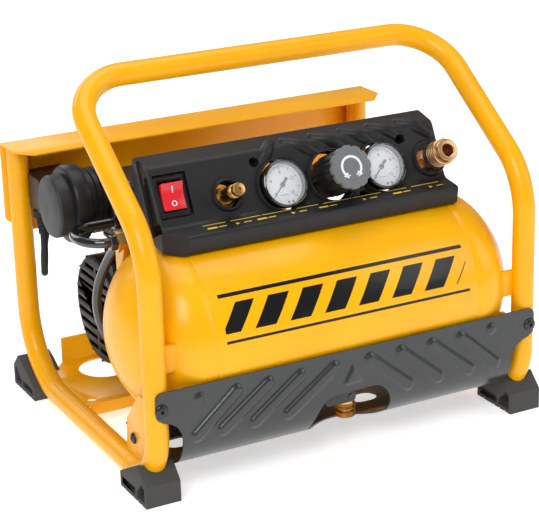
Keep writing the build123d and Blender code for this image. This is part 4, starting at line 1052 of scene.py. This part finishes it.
@dataclass
class FrontGuard:
    """The bent sheet in front of the tank, with its pressed bars."""

    top: float = 96.0
    face_y: float = -11.0
    bend: float = 34.0
    low: float = 22.0
    back: float = 104.0
    half: float = 175.5
    bar_half: float = 5.0
    bar_rise: float = 2.4
    left_bars: list[Flat] = field(
        default_factory=lambda: [(-106.5, -141.7), (-78.4, -119.0), (-49.8, -91.0), (-18.9, -61.0)]
    )
    right_bars: list[Flat] = field(
        default_factory=lambda: [(14.4, 50.4), (43.7, 79.6), (73.5, 110.3), (101.9, 136.0)]
    )

    def surface(self, along: float) -> tuple[float, float, float, float]:
        """Follow the sheet's outer face down and back.

        Args:
            along: Distance from the top edge.

        Returns:
            y, z and the outward normal's y and z.
        """
        upright = self.top - self.low - self.bend
        arc = self.bend * math.pi / 2
        if along <= upright:
            return self.face_y, self.top - along, -1.0, 0.0
        if along <= upright + arc:
            a = (along - upright) / self.bend
            centre_y, centre_z = self.face_y + self.bend, self.low + self.bend
            return (
                centre_y - self.bend * math.cos(a), centre_z - self.bend * math.sin(a),
                -math.cos(a), -math.sin(a)
            )
        run = along - upright - arc
        return self.face_y + self.bend + run, self.low, 0.0, -1.0

    def rise(self, x: float, along: float) -> float:
        """Give the height of the pressing at a place on the sheet."""
        best = 0.0
        for top_x, low_x in self.left_bars + self.right_bars:
            a, b = Vector((top_x, 12.0)), Vector((low_x, 42.0))
            p, run = Vector((x, along)), b - a
            t = min(1.0, max(0.0, (p - a).dot(run) / run.length_squared))
            gap = (p - a - run * t).length
            share = min(1.0, max(0.0, (self.bar_half + 1.0 - gap) / 2.9))
            best = max(best, self.bar_rise * share * share * (3 - 2 * share))
        for dot_x, dot_d in ((-138.5, 11.5), (131.8, 10.5)):
            gap = math.hypot(x - dot_x, along - dot_d)
            best = max(best, 1.9 * min(1.0, max(0.0, (5.2 - gap) / 2.2)))
        tri = max(along - 24.0, 0.87 * abs(x + 2) - 0.5 * (along - 24.0)) - 6.2
        return max(best, 2.0 * min(1.0, max(0.0, -tri / 2.8)))

    def sheet(self) -> bpy.types.Object:
        """Press the sheet out of a fine grid."""
        clear()
        length = (
            self.top - self.low - self.bend + self.bend * math.pi / 2 + self.back - self.face_y - self.bend
        )
        bpy.ops.mesh.primitive_grid_add(x_subdivisions=300, y_subdivisions=126, size=1)
        piece = bpy.context.object
        for vertex in piece.data.vertices:
            x, along = vertex.co.x * 2 * self.half, (0.5 - vertex.co.y) * length
            y, z, ny, nz = self.surface(along)
            lift = self.rise(x, along)
            vertex.co = place(x, y + ny * lift, z + nz * lift)
        thick = piece.modifiers.new("sheet", "SOLIDIFY")
        thick.thickness = 1.5 * MM
        thick.offset = -1.0
        apply_modifiers(piece)
        return piece

    def build(self) -> None:
        """Make the guard and its screws."""
        guard = self.sheet()
        notch = [
            (220, -40), (153.5, -40), (153.5, 52), (154.5, 59), (158, 65), (164, 69), (171, 71.2),
            (220, 72)
        ]
        cut(guard, slab("notch_right", notch, 200, forwards(0, 140, 0), 0))
        cut(guard, slab("notch_left", [(-x, z) for x, z in notch], 200, forwards(0, 140, 0), 0))
        arch = soften([(-42, -20), (-37, 40), (-27, 59), (25, 60.5), (35, 46), (42, -20)], 10, 5)
        cut(guard, slab("window", arch, 42, forwards(0, 2, 0), 0))
        plan = soften([(-39, -40), (39, -40), (36, 6), (14, 25), (-14, 25), (-36, 6)], 13, 5)
        cut(guard, slab("window_floor", plan, 30, level(0, 0, 5), 0))
        for x in (-132, -40, 40, 132):
            cut(
                guard,
                slab("oval", [(a + x, b + 46) for a, b in capsule(26, 18)], 20, level(0, 0, 12), 0)
            )
        for side in Side:
            slot = slab(
                "slot", capsule(9.5, 5.8), 12,
                forwards(side.value * 171, 0, 81.5) @ Matrix.Rotation(math.radians(60), 4, "Z"), 0
            )
            cut(guard, slot)
            for name, z, sign in (("top", 96.0, 1), ("low", 72.0, -1)):
                x = side.value
                corner = [
                    (x * 169.5, z + sign * 3), (x * 180, z + sign * 3), (x * 180, z - sign * 6),
                    (x * 175.6, z - sign * 6)
                ]
                corner += [
                    (x * 174.9, z - sign * 3), (x * 173.2, z - sign * 1),
                    (x * 171, z - sign * 0.05)
                ]
                cut(guard, slab(f"corner_{name}", corner, 20, forwards(0, 0, 0), 0))
        ears = []
        for side in Side:
            x = side.value
            ears.append(block("strap", (17, 11, 1.5), level(x * 161, 52.5, 22.0), 0.4))
            outline = [(47, 22), (58, 22), (58, 44), (54, 46), (40, 46), (36, 42), (36, 29)]
            ears.append(
                slab("ear", soften(outline, 2), 1.5, sideways(x * 168.75 - 0.75, 0, 0), 0.4)
            )
        guard = merged("guard_sheet", [guard, *ears])
        only(guard)
        bpy.ops.object.shade_smooth_by_angle(angle=math.radians(40))
        finish(guard, GUARD_GREY, MACHINE, ["front_guard"])
        heads = []
        for side in Side:
            heads.append(self.screw(forwards(side.value * 171, -11, 81.5), 5.5))
            out = (side.value, 0, 0)
            heads.append(
                self.screw(frame_at((side.value * 172.5, 42.5, 38.0), (0, 1, 0), out), 4.6)
            )
        finish(merged("guard_screw_heads", heads), DARK_STEEL, MACHINE, ["guard_screws"])

    def screw(self, matrix: Matrix, radius: float) -> bpy.types.Object:
        """Turn a dome head with a hexagon socket."""
        profile = [
            (0, -6), (2.4, -6), (2.4, 0), (radius, 0), (radius, 0.5), (radius * 0.92, 1.2),
            (radius * 0.7, 2.0), (radius * 0.4, 2.4), (0, 2.5)
        ]
        head = lathe("screw", profile, matrix, 40, 50)
        return cut(
            head,
            slab("socket", circle(1.7, 6), 4, matrix @ Matrix.Translation((0, 0, 0.8 * MM)), 0)
        )


@dataclass
class Tank:
    """The welded tank."""

    radius: float = 73.0
    y: float = 63.5
    z: float = 113.0
    tip: float = 178.0

    def build(self) -> None:
        """Turn the tank, with a low weld bead near each end."""
        knuckle, crown = 0.5 * self.radius, 1.2 * self.radius
        meet = math.asin((self.radius - knuckle) / (crown - knuckle))
        crown_x = self.tip - crown
        knuckle_x = crown_x + (crown - knuckle) * math.cos(meet)
        half: list[Flat] = []
        for k in range(17):
            a = meet * k / 16
            half.append((crown * math.sin(a), crown_x + crown * math.cos(a)))
        for k in range(1, 17):
            a = meet + (math.pi / 2 - meet) * k / 16
            half.append(
                (self.radius - knuckle + knuckle * math.sin(a), knuckle_x + knuckle * math.cos(a))
            )
        seam = knuckle_x - 6
        half += [
            (self.radius, seam + 1.2), (self.radius - 0.35, seam + 0.5),
            (self.radius - 0.35, seam - 0.5), (self.radius, seam - 1.2)
        ]
        profile = half + [(r, -h) for r, h in reversed(half)]
        profile[0], profile[-1] = (0.0, self.tip), (0.0, -self.tip)
        body = lathe("tank_shell", profile, sideways(0, self.y, self.z), 144, 30)
        finish(body, TANK_YELLOW, MACHINE, ["air_tank"])


# ---- instrument panel --------------------------------------------------------------------


@dataclass
class PanelHousing:
    """The moulded housing of the instruments."""

    x0: float = -138.0
    x1: float = 129.0
    holes: list[Flat] = field(
        default_factory=lambda: [
            (-72.0, 11.0), (-22.5, 21.0), (24.1, 21.0), (70.7, 21.0), (117.3, 13.0)
        ]
    )
    wells: list[Flat] = field(default_factory=lambda: [(-43.2, 40.0), (92.9, 38.0), (47.4, -3.0)])

    def outline(self, inset: float) -> list[Flat]:
        """Give the section, y and z, with the open back and underside reached when inset."""
        if not inset:
            return [(36.5, 183), (34, 199), (55, 202), (76.5, 246), (99, 251.5), (99, 183)]
        return [(39.2, 160), (36.6, 196.6), (56.6, 199.5), (78.3, 243.6), (120, 249.6), (120, 160)]

    def build(self) -> None:
        """Make the housing, its collars, pressings and printed marks."""
        section = soften(self.outline(0), 3.4, 4)
        body = slab("housing", section, self.x1 - self.x0, sideways(self.x0, 0, 0), 1.6, 3)
        chamfer = [(-150, 54), (-150, 20), (-118, 20), (-118, 34)]
        cut(body, slab("chamfer", chamfer, 70, level(0, 0, 150), 0))
        upper = [(self.x0 - 1, -4), (self.x0 + 5, -4), (self.x0 + 2.4, 60), (self.x0 - 1, 60)]
        cut(body, slab("end_slope", upper, 40, FACE.at(0, 0, -12), 0))
        for k in range(6):
            x, lean = (113.0 - 27.2 * k, 13.0) if k < 5 else (-30.0, -8.0)
            cut(body, self.pillow(x, lean), join=True)
        hollow = slab(
            "hollow", self.outline(2.5), self.x1 - self.x0 - 5, sideways(self.x0 + 2.5, 0, 0), 0
        )
        inner = [(-150, 58), (-150, 22.5), (-117.5, 22.5), (-114.5, 25), (-114.5, 39)]
        cut(hollow, slab("inner_chamfer", inner, 70, level(0, 0, 150), 0))
        cut(body, hollow)
        for x, up in self.wells:
            cut(body, lathe("well", [(0, -14), (4, -14), (4, 8), (0, 8)], FACE.at(x, up, 0), 32))
        for x, r in self.holes:
            cut(
                body,
                lathe("hole", [(0, -16), (r, -16), (r, 8), (0, 8)], FACE.at(x, FACE.centre, 0), 72)
            )
        cut(body, block("switch_hole", (28.5, 36, 24), FACE.at(-118, 25, -14), 0))
        cut(
            body,
            lathe(
                "tank_gap", [(0, -150), (74.5, -150), (74.5, 150), (0, 150)],
                sideways(0, 63.5, 113), 96
            )
        )
        parts = [body]
        for x, r in self.holes:
            w = 2.0
            ring = [
                (r, -2.4), (r, 2.4), (r + 0.5, 3.0), (r + w - 0.7, 3.0), (r + w, 2.2),
                (r + w + 1.2, -0.2), (r + w + 1.2, -2.4), (r, -2.4)
            ]
            parts.append(lathe("collar", ring, FACE.at(x, FACE.centre, 0), 72))
        for x, up in self.wells:
            cup = [
                (2.6, -9.6), (4, -9.6), (4, -0.6), (5.6, -0.6), (5.6, -12), (2.6, -12), (2.6, -9.6)
            ]
            parts.append(lathe("cup", cup, FACE.at(x, up, 0), 32))
        frame_wall = block("switch_wall", (31, 38.5, 13), FACE.at(-118, 25, -14.6), 0.6)
        cut(frame_wall, block("switch_well", (28.5, 36, 30), FACE.at(-118, 25, -20), 0))
        parts.append(frame_wall)
        housing = merged("housing", parts)
        only(housing)
        bpy.ops.object.shade_smooth_by_angle(angle=math.radians(32))
        finish(housing, HOUSING, MACHINE, ["panel_housing"])
        self.marks()
        dress("panel_screws", DARK_STEEL, 0.25)
        dress("mounting_plate", BLACK, 0.3)

    def pillow(self, x: float, lean: float) -> bpy.types.Object:
        """Make one pressed ridge across the fold between the face and the top.

        Args:
            x: The middle of the ridge.
            lean: How far its upper end stands to the left of the middle.

        Returns:
            The ridge, to be joined to the housing.
        """
        upper, lower = Vector((x - lean, 85.4, 245.2)), Vector((x + lean * 0.7, 74.6, 236.4))
        run = lower - upper
        radius = 5.6
        profile = [
            (
                radius * math.cos(math.radians(a)), radius * math.sin(math.radians(a))
            ) for a in range(-90, 0, 15)
        ]
        profile += [(radius, run.length * k / 10) for k in range(11)]
        profile += [
            (
                radius * math.cos(math.radians(a)), run.length + radius * math.sin(math.radians(a))
            ) for a in range(15, 91, 15)
        ]
        matrix = frame_at(tuple(upper), tuple(run.orthogonal()), tuple(run))
        ridge = lathe("ridge", profile, matrix, 32)
        start, whole = place(*upper), run * MM
        for vertex in ridge.data.vertices:
            t = min(1.0, max(0.0, (vertex.co - start).dot(whole) / whole.length_squared))
            vertex.co += Vector((0, -0.62, 0.78)) * (4 * t * (1 - t) * 3.4 * MM)
        return ridge

    def marks(self) -> None:
        """Print a broken line and plain figures along the ledge."""
        lean = math.degrees(math.atan2(3, 21))

        def on_ledge(x: float, back: float) -> Matrix:
            """Give a plane on the ledge."""
            spot = (x, 34 + back, 199.0 + back * math.tan(math.radians(lean)) - 0.05)
            normal = (0, -math.sin(math.radians(lean)), math.cos(math.radians(lean)))
            return frame_at(spot, (1, 0, 0), normal)

        prints = []
        for k in range(8):
            prints.append(
                block("dash", (26.5 if k % 3 else 20, 0.8, 0.16), on_ledge(-92 + 28 * k, 14.5), 0)
            )
        for k, x in enumerate((-96, -74, -52, -24, 4, 42, 74, 106)):
            shape = circle(2.2, 3) if k % 2 else capsule(9, 2.2)
            prints.append(slab("mark", shape, 0.16, on_ledge(x, 8.5), 0))
            prints.append(slab("mark", capsule(7, 1.2), 0.16, on_ledge(x + 9, 8.5), 0))
        finish(merged("ledge_marks", prints), PRINT_YELLOW)


@dataclass
class Gauge:
    """One pressure gauge."""

    side: Side
    x: float
    top: int
    proud: float = 8.0

    def build(self) -> None:
        """Make the case, dial, ticks, figures, needle and clear cover."""
        name = self.side.name.lower()
        p = self.proud
        case = [
            (0, p - 24), (18.2, p - 24), (
                19.2, p - 22.5
            ), (19.2, p - 6), (20, p - 5), (20, p - 1.6), (19.5, p - 0.5),
            (18.6, p), (
                17.9, p - 0.3
            ), (17.6, p - 1.4), (17.2, p - 8.2), (16.8, p - 9), (0, p - 9),
        ]
        finish(
            lathe(f"case_{name}", case, FACE.at(self.x, FACE.centre), 96), GLOSS_BLACK, MACHINE,
            [f"gauge_case_{name}"]
        )
        stem = lathe(
            f"gauge_stem_{name}", [(0, -40), (5, -40), (5, p - 23.9), (0, p - 23.9)],
            FACE.at(self.x, FACE.centre), 32
        )
        finish(stem, BRASS)
        floor = p - 9
        dial = lathe(
            f"dial_{name}",
            [
                (0.9, floor + 0.1), (17.6, floor + 0.1), (17.6, floor + 1.0), (0.9, floor + 1.0),
                (0.9, floor + 0.1)
            ],
            FACE.at(self.x, FACE.centre), 72
        )
        finish(dial, DIAL, MACHINE, ["gauge_dials"] if self.side is Side.LEFT else [])
        ink = []
        for k in range(41):
            angle = math.radians(225 - 270 * k / 40)
            long = 2.6 if k % 5 == 0 else 1.4
            turn = Matrix.Rotation(angle, 4, "Z") @ Matrix.Translation(
                ((15.8 - long / 2) * MM, 0, 0)
            )
            ink.append(
                block(
                    "tick", (long, 0.5 if k % 5 == 0 else 0.28, 0.12),
                    FACE.at(self.x, FACE.centre, floor + 1.0) @ turn, 0
                )
            )
        for k in range(5):
            angle = math.radians(225 - 270 * k / 4)
            spot = FACE.at(
                self.x + 10.3 * math.cos(angle), FACE.centre + 10.3 * math.sin(angle), floor + 1.05
            )
            ink.append(label("figure", str(self.top * k // 4), 4.2, spot))
        for dx in (2.4, 6.2):
            ink.append(
                lathe(
                    "dot", [(0, 0.3), (0.9, 0.3), (0.9, 0), (0, 0)],
                    FACE.at(self.x + dx, 3.4, floor + 1.0), 16
                )
            )
        ink.append(block("line", (8, 0.4, 0.12), FACE.at(self.x, 9.5, floor + 1.0), 0))
        finish(merged(f"dial_print_{name}", ink), INK)
        needle = [
            (-13.5, -0.15), (-13.5, 0.15), (-2, 0.45), (3, 0.9), (7, 1.25), (7, -1.25), (3, -0.9),
            (-2, -0.45)
        ]
        lean = Matrix.Rotation(math.radians(45), 4, "Z")
        pointer = slab(
            "pointer", needle, 0.5, FACE.at(self.x, FACE.centre, floor + 1.45) @ lean, 0.08, 1
        )
        hub = lathe(
            "hub", [(0, -1.5), (0.7, -1.5), (0.7, 0), (2, 0), (2, 1.0), (1.6, 1.4), (0, 1.5)],
            FACE.at(self.x, FACE.centre, floor + 1.4), 32
        )
        finish(
            merged(f"pointer_{name}", [pointer, hub]), INK, f"needle_{name}",
            [f"gauge_needle_{name}"]
        )
        cover = [
            (0, p - 1.9), (17.5, p - 1.9), (17.5, p - 1.3), (12, p - 1.0), (6, p - 0.86),
            (0, p - 0.8)
        ]
        clear_cover = lathe(f"cover_{name}", cover, FACE.at(self.x, FACE.centre), 72, 60)
        finish(clear_cover, GLASS, MACHINE, ["gauge_lenses"] if self.side is Side.LEFT else [])


@dataclass
class Regulator:
    """The regulator's scalloped knob with its cap."""

    x: float = 24.1
    lobes: int = 12
    top: float = 31.0

    def scallops(
        self, radius: float, depth: float, steps: int = 144, shift: float = 0.0
    ) -> list[Flat]:
        """Give a round outline with rounded grooves."""
        result = []
        for k in range(steps):
            a = math.tau * k / steps
            wave = max(0.0, math.cos(self.lobes * a + shift)) ** 3
            r = radius - depth * wave
            result.append((r * math.cos(a), r * math.sin(a)))
        return result

    def build(self) -> None:
        """Make the knob, the cap with its arrow and the bonnet behind."""
        skirt = slab(
            "skirt", self.scallops(17.4, 1.1), 35.0, FACE.at(self.x, FACE.centre, -5), 0.6, 2
        )
        bore = lathe(
            "bore", [(0, -8), (13.4, -8), (13.4, 16), (0, 16)], FACE.at(self.x, FACE.centre), 48
        )
        cut(skirt, bore)
        finish(merged("knob_skirt", [skirt]), BLACK, "knob", ["regulator_knob"])
        cap = slab(
            "knob_cap", self.scallops(18.0, 1.5, shift=math.pi), 4.9,
            FACE.at(self.x, FACE.centre, 30.3), 0.9, 4
        )
        dish = lathe(
            "dish", [(0, 34.75), (11.5, 34.75), (12.6, 35.6), (0, 35.6)],
            FACE.at(self.x, FACE.centre), 60
        )
        cut(cap, dish)
        finish(cap, GREY, "knob", ["regulator_cap"])
        arc, steps = [], 40
        low, high = math.radians(-38), math.radians(218)
        for k in range(steps + 1):
            a = low + (high - low) * k / steps
            arc.append((9.6 * math.cos(a), 9.6 * math.sin(a)))
        for k in range(steps, -1, -1):
            a = low + (high - low) * k / steps
            arc.append((7.6 * math.cos(a), 7.6 * math.sin(a)))
        on_cap = FACE.at(self.x, FACE.centre, 34.72)
        prints = [slab("arc", arc, 0.25, on_cap, 0)]
        for a, sign in ((low, -1), (high, 1)):
            tip = Matrix.Rotation(a, 4, "Z") @ Matrix.Translation((8.6 * MM, 0, 0))
            prints.append(
                slab("head", [(-2.6, 0), (2.6, 0), (0, sign * 4.4)], 0.25, on_cap @ tip, 0)
            )
        prints.append(
            block(
                "plus", (3.4, 0.9, 0.25), on_cap @ Matrix.Translation((4.4 * MM, -6.6 * MM, 0)), 0
            )
        )
        prints.append(
            block(
                "plus", (0.9, 3.4, 0.25), on_cap @ Matrix.Translation((4.4 * MM, -6.6 * MM, 0)), 0
            )
        )
        prints.append(
            block(
                "minus", (3.4, 0.9, 0.25), on_cap @ Matrix.Translation((-4.4 * MM, -6.6 * MM, 0)),
                0
            )
        )
        finish(merged("knob_print", prints), WHITE, "knob")
        dress("regulator_body", BLACK, 0.4)


@dataclass
class Switch:
    """The rocker switch."""

    x: float = -118.0
    up: float = 25.0

    def build(self) -> None:
        """Make the frame, the rocker and its marks."""
        base = self.frame_part()
        finish(base, BLACK, MACHINE, ["switch_frame"])
        half = 11.0
        section = [(-half, 3.9), (-half + 0.5, 4.1)]
        for k in range(9):
            t = -1 + k / 4
            section.append((t * (half - 0.8), 1.9 + 2.1 * t * t))
        section += [(half - 0.5, 4.1), (half, 3.9), (half - 2, -5.5), (-half + 2, -5.5)]
        rest = Matrix.Rotation(math.radians(8), 4, "X")
        pivot = FACE.at(self.x, self.up, -2.5) @ rest
        side = Matrix.Translation((-9.4 * MM, 0, 0)) @ Matrix(
            ((0, 0, 1, 0), (1, 0, 0, 0), (0, 1, 0, 0), (0, 0, 0, 1))
        )
        rocker = slab("rocker_body", section, 18.8, pivot @ side, 0.5, 3)
        finish(rocker, RED, "rocker", ["switch_rocker"])
        prints = [
            block(
                "on", (0.9, 5.2, 0.35),
                pivot @ Matrix.Translation((0, 5.6 * MM, 2.55 * MM)) @ Matrix.Rotation(
                    math.radians(9.5), 4, "X"
                ),
                0
            )
        ]
        ring = [(1.5, 0), (2.3, 0), (2.3, 0.35), (1.5, 0.35), (1.5, 0)]
        off = pivot @ Matrix.Translation((0, -5.8 * MM, 2.55 * MM)) @ Matrix.Rotation(
            math.radians(-9.5), 4, "X"
        )
        prints.append(lathe("off", ring, off, 32))
        finish(merged("rocker_print", prints), WHITE, "rocker")

    def frame_part(self) -> bpy.types.Object:
        """Make the rim and the body of the switch."""
        plane = FACE.at(self.x, self.up, -5.0)
        rim = slab(
            "switch_rim", soften([(-13.2, -17), (13.2, -17), (13.2, 17), (-13.2, 17)], 2.0), 3.0,
            plane, 0.9, 3
        )
        deep = block("switch_block", (22.5, 30, 21.3), FACE.at(self.x, self.up, -25.0), 0.3)
        rim = cut(rim, deep, join=True)
        well = block("switch_mouth", (19.8, 24.6, 20), FACE.at(self.x, self.up, -14.0), 0)
        return cut(rim, well)


@dataclass
class Fittings:
    """The brass fittings, the manifold and the drain tap."""

    def hexagon(
        self, name: str, x: float, low: float, high: float, flats: float
    ) -> bpy.types.Object:
        """Make a chamfered hexagon on the face."""
        nut = slab(
            name, circle(flats / math.sqrt(3), 6), high - low, FACE.at(x, FACE.centre, low), 0
        )
        cone = [
            (0, low - 1), (flats / 2 - 0.2, low - 1), (flats * 0.62, low + 1.2),
            (flats * 0.62, high - 1.2), (flats / 2 - 0.2, high + 1), (0, high + 1)
        ]
        shell = lathe("cone", cone, FACE.at(x, FACE.centre), 48)
        modifier = nut.modifiers.new("chamfer", "BOOLEAN")
        modifier.operation = "INTERSECT"
        modifier.object = shell
        apply_modifiers(nut)
        bpy.data.objects.remove(shell, do_unlink=True)
        bevel(nut, 0.25, 2)
        return nut

    def safety_valve(self, x: float = -72.0) -> None:
        """Turn the safety valve's body and its pull."""
        body = [
            (0, -40), (5, -40), (5, -13), (5.1, -5), (5.5, -4.6), (5.5, 12.4), (5.1, 12.9),
            (2.05, 12.9), (2.05, 1.9), (0, 1.9)
        ]
        parts = [
            lathe("valve", body, FACE.at(x, FACE.centre), 48),
            self.hexagon("valve_hex", x, -14, -5, 14)
        ]
        finish(merged("safety_valve", parts), BRASS, MACHINE, ["safety_valve_body"])
        pull = [(0, 2.1), (1.95, 2.1), (1.95, 13.02), (5.2, 13.02), (5.5, 13.4)]
        for k in range(3):
            pull += [
                (5.5, 15.0 + 1.6 * k), (5.1, 15.3 + 1.6 * k), (5.1, 15.8 + 1.6 * k),
                (5.5, 16.1 + 1.6 * k)
            ]
        pull += [(5.5, 22.8), (5.0, 23.7), (4.2, 24), (1.2, 24), (1.2, 20), (0, 20)]
        finish(
            lathe("valve_pull_knob", pull, FACE.at(x, FACE.centre), 48), BRASS, "valve_pull",
            ["safety_valve_pull"]
        )

    def coupler(self, x: float = 117.3) -> None:
        """Turn the quick coupler's body and its knurled sleeve."""
        body = [
            (0, -40), (6, -40), (6, -7.8), (7.2, -7.5), (7.2, 4), (7.5, 4.1), (7.5, 27),
            (9.2, 27), (9.5, 27.4), (9.5, 31.6),
            (9.0, 32.6), (8.2, 33), (6.0, 33), (5.2, 32.2), (5.2, 11), (0, 11),
        ]
        parts = [
            lathe("barrel", body, FACE.at(x, FACE.centre), 64),
            self.hexagon("coupler_hex", x, -8, 4, 15)
        ]
        finish(merged("coupler", parts), PALE_BRASS, MACHINE, ["coupler_body"])
        sleeve: list[Flat] = [(7.56, 26.95), (10.4, 26.95), (11, 26.3)]
        for k in range(4):
            h = 25.0 - 2.6 * k
            sleeve += [(11, h), (10.3, h - 0.3), (10.3, h - 1.0), (11, h - 1.3)]
        sleeve += [(11, 9.0), (10.2, 7.6), (7.56, 7.45), (7.56, 26.95)]
        finish(
            lathe("coupler_grip", sleeve, FACE.at(x, FACE.centre), 96, 25), PALE_BRASS, "sleeve",
            ["coupler_sleeve"]
        )

    def drain(self, x: float = 8.0, y: float = 20.0) -> None:
        """Turn the drain tap's knurled body and dress its lever."""
        profile: list[Flat] = [(2.2, 24.5), (7.6, 24.5), (8.7, 25.4)]
        for k in range(3):
            profile += [(8.8, 25.6 + 1.4 * k), (8.3, 26.1 + 1.4 * k)]
        profile += [(8.7, 29.4), (7.8, 30.0), (6.5, 30.2), (6.5, 31.4), (7.9, 31.6), (8.8, 32.4)]
        for k in range(3):
            profile += [(8.8, 32.6 + 1.2 * k), (8.3, 33.1 + 1.2 * k)]
        profile += [(8.7, 36.4), (7.9, 37.0), (7.9, 54.0), (2.2, 54.0), (2.2, 24.5)]
        body = lathe("drain_tap_body", profile, level(x, y, 0), 64, 25)
        finish(body, BRASS, MACHINE, ["drain_body"])
        dress("drain_lever", DARK_STEEL, 0.35, 3)

    def build(self) -> None:
        """Make all the fittings."""
        self.safety_valve()
        self.coupler()
        self.drain()
        dress("manifold", ALLOY, 0.5)


# ---- pump ----------------------------------------------------------------------------


@dataclass
class Pump:
    """The pump, its motor, its filter and its pipes."""

    shaft_y: float = 190.0
    shaft_z: float = 92.0

    def intake_filter(self) -> None:
        """Turn the intake filter's ribbed base and its cap."""
        plane = sideways(0, 185, 193)
        cap = [
            (0, -178), (23.2, -178), (25.4, -177.4), (26.5, -175.6), (26.5, -166.6), (26, -166),
            (26, -165), (0, -165)
        ]
        finish(lathe("intake_cap", cap, plane, 96, 30), SPECKLE, MACHINE, ["filter_cap"])
        base: list[Flat] = [
            (0, -164.9), (29.5, -164.9), (32, -164), (33, -162), (33, -153), (32.2, -151),
            (30, -150), (28, -149.6)
        ]
        for k in range(3):
            h = -146 + 5 * k
            base += [(28, h), (26.6, h + 0.8), (26.6, h + 2), (28, h + 2.8)]
        base += [(28, -132), (9, -132), (9, -120), (0, -120)]
        finish(lathe("intake_base", base, plane, 96, 30), BLACK, MACHINE, ["filter_base"])

    def pipes(self) -> None:
        """Run the discharge pipe and the transfer tube."""
        radius = 23.2 * MM
        corners = [(-124, 148, 183), (-179, 148, 183), (-179, 100, 183), (-152, 100, 183)]
        route = bends([place(*p) for p in corners], [radius, radius], 20)
        nuts = []
        for x, y in ((-133.5, 148), (-157, 100)):
            nuts.append(slab("nut", circle(6.9, 6), 7, sideways(x - 3.5, y, 183), 0.5))
        pipe = merged("discharge_line", [bar("line", route, 4.0), *nuts])
        finish(pipe, GLOSS_BLACK, MACHINE, ["discharge_pipe"])
        points = [
            (-148, 104, 183), (-146, 122, 172), (-157, 143, 138), (-157, 148, 100), (-142, 136, 68)
        ]
        low = math.radians(40)
        points += [
            (-126, 63.5 + 87 * math.cos(low), 113 - 87 * math.sin(low)),
            (-124, 63.5 + 72 * math.cos(low), 113 - 72 * math.sin(low))
        ]
        curve = bpy.data.curves.new("transfer_line", "CURVE")
        curve.dimensions = "3D"
        curve.bevel_depth = 4.0 * MM
        curve.bevel_resolution = 8
        curve.resolution_u = 16
        spline = curve.splines.new("NURBS")
        spline.points.add(len(points) - 1)
        for point, spot in zip(spline.points, points):
            point.co = (*place(*spot), 1)
        spline.order_u = 4
        spline.use_endpoint_u = True
        tube = bpy.data.objects.new("transfer_line", curve)
        bpy.context.collection.objects.link(tube)
        only(tube)
        bpy.ops.object.convert(target="MESH")
        finish(
            settle(bpy.context.object, Matrix.Identity(4), 60), GLOSS_BLACK, MACHINE,
            ["transfer_tube"]
        )

    def build(self) -> None:
        """Make the pump and dress its cast and turned pieces."""
        self.intake_filter()
        self.pipes()
        for node, look, edge in (
            ("pump_head", PUMP_BLACK, 0.8), ("head_bolts", STEEL, 0.4), (
                "pump_cylinder", PUMP_BLACK, 0.4
            ),
            ("crankcase", PUMP_BLACK, 0.9), ("piston_rod", ALLOY, 0.4), ("crank", STEEL, 0.4),
            (
                "motor_can", PUMP_BLACK, 0.8
            ), ("motor_rotor", STEEL, 0.4), ("motor_bearings", STEEL, 0.3),
            ("motor_mounts", RUBBER, 0.8), ("fan_wheel", BLACK, 0.4), ("fan_cover", BLACK, 0.7),
            ("check_valve", BRASS, 0.5), ("terminal_box", BLACK, 0.8), ("cord_clip", BLACK, 0.5),
        ):
            dress(node, look, edge)
        self.fins()

    def fins(self) -> None:
        """Cast the cooling fins and the top lug of the fan cover."""
        fins = []
        for k in range(14):
            turn = Matrix.Rotation(
                math.tau * k / 14 + 0.2, 4, "Z"
            ) @ Matrix.Translation((47.2 * MM, 0, 0))
            fins.append(
                block(
                    "fin", (2.2, 1.6, 18), sideways(-138.0, self.shaft_y, self.shaft_z) @ turn, 0.4
                )
            )
        lug = lathe(
            "lug", [(0, -136), (7, -136), (8.5, -134), (8.5, -122), (0, -122)],
            sideways(0, self.shaft_y - 27, self.shaft_z + 44), 40
        )
        finish(merged("cover_fins", [*fins, lug]), BLACK)


def main() -> None:
    """Build the machine, piece by piece."""
    logging.basicConfig(level=logging.INFO, format="%(message)s")
    Studio().build()
    PowerCord().build()
    for assembly in (
        Cage(), FrontGuard(), Tank(), PanelHousing(), Gauge(
            Side.LEFT, -22.5, 16
        ), Gauge(Side.RIGHT, 70.7, 12),
        Regulator(), Switch(), Fittings(), Pump(),
    ):
        LOG.info("building %s", type(assembly).__name__)
        assembly.build()


if __name__ == "__main__":
    main()
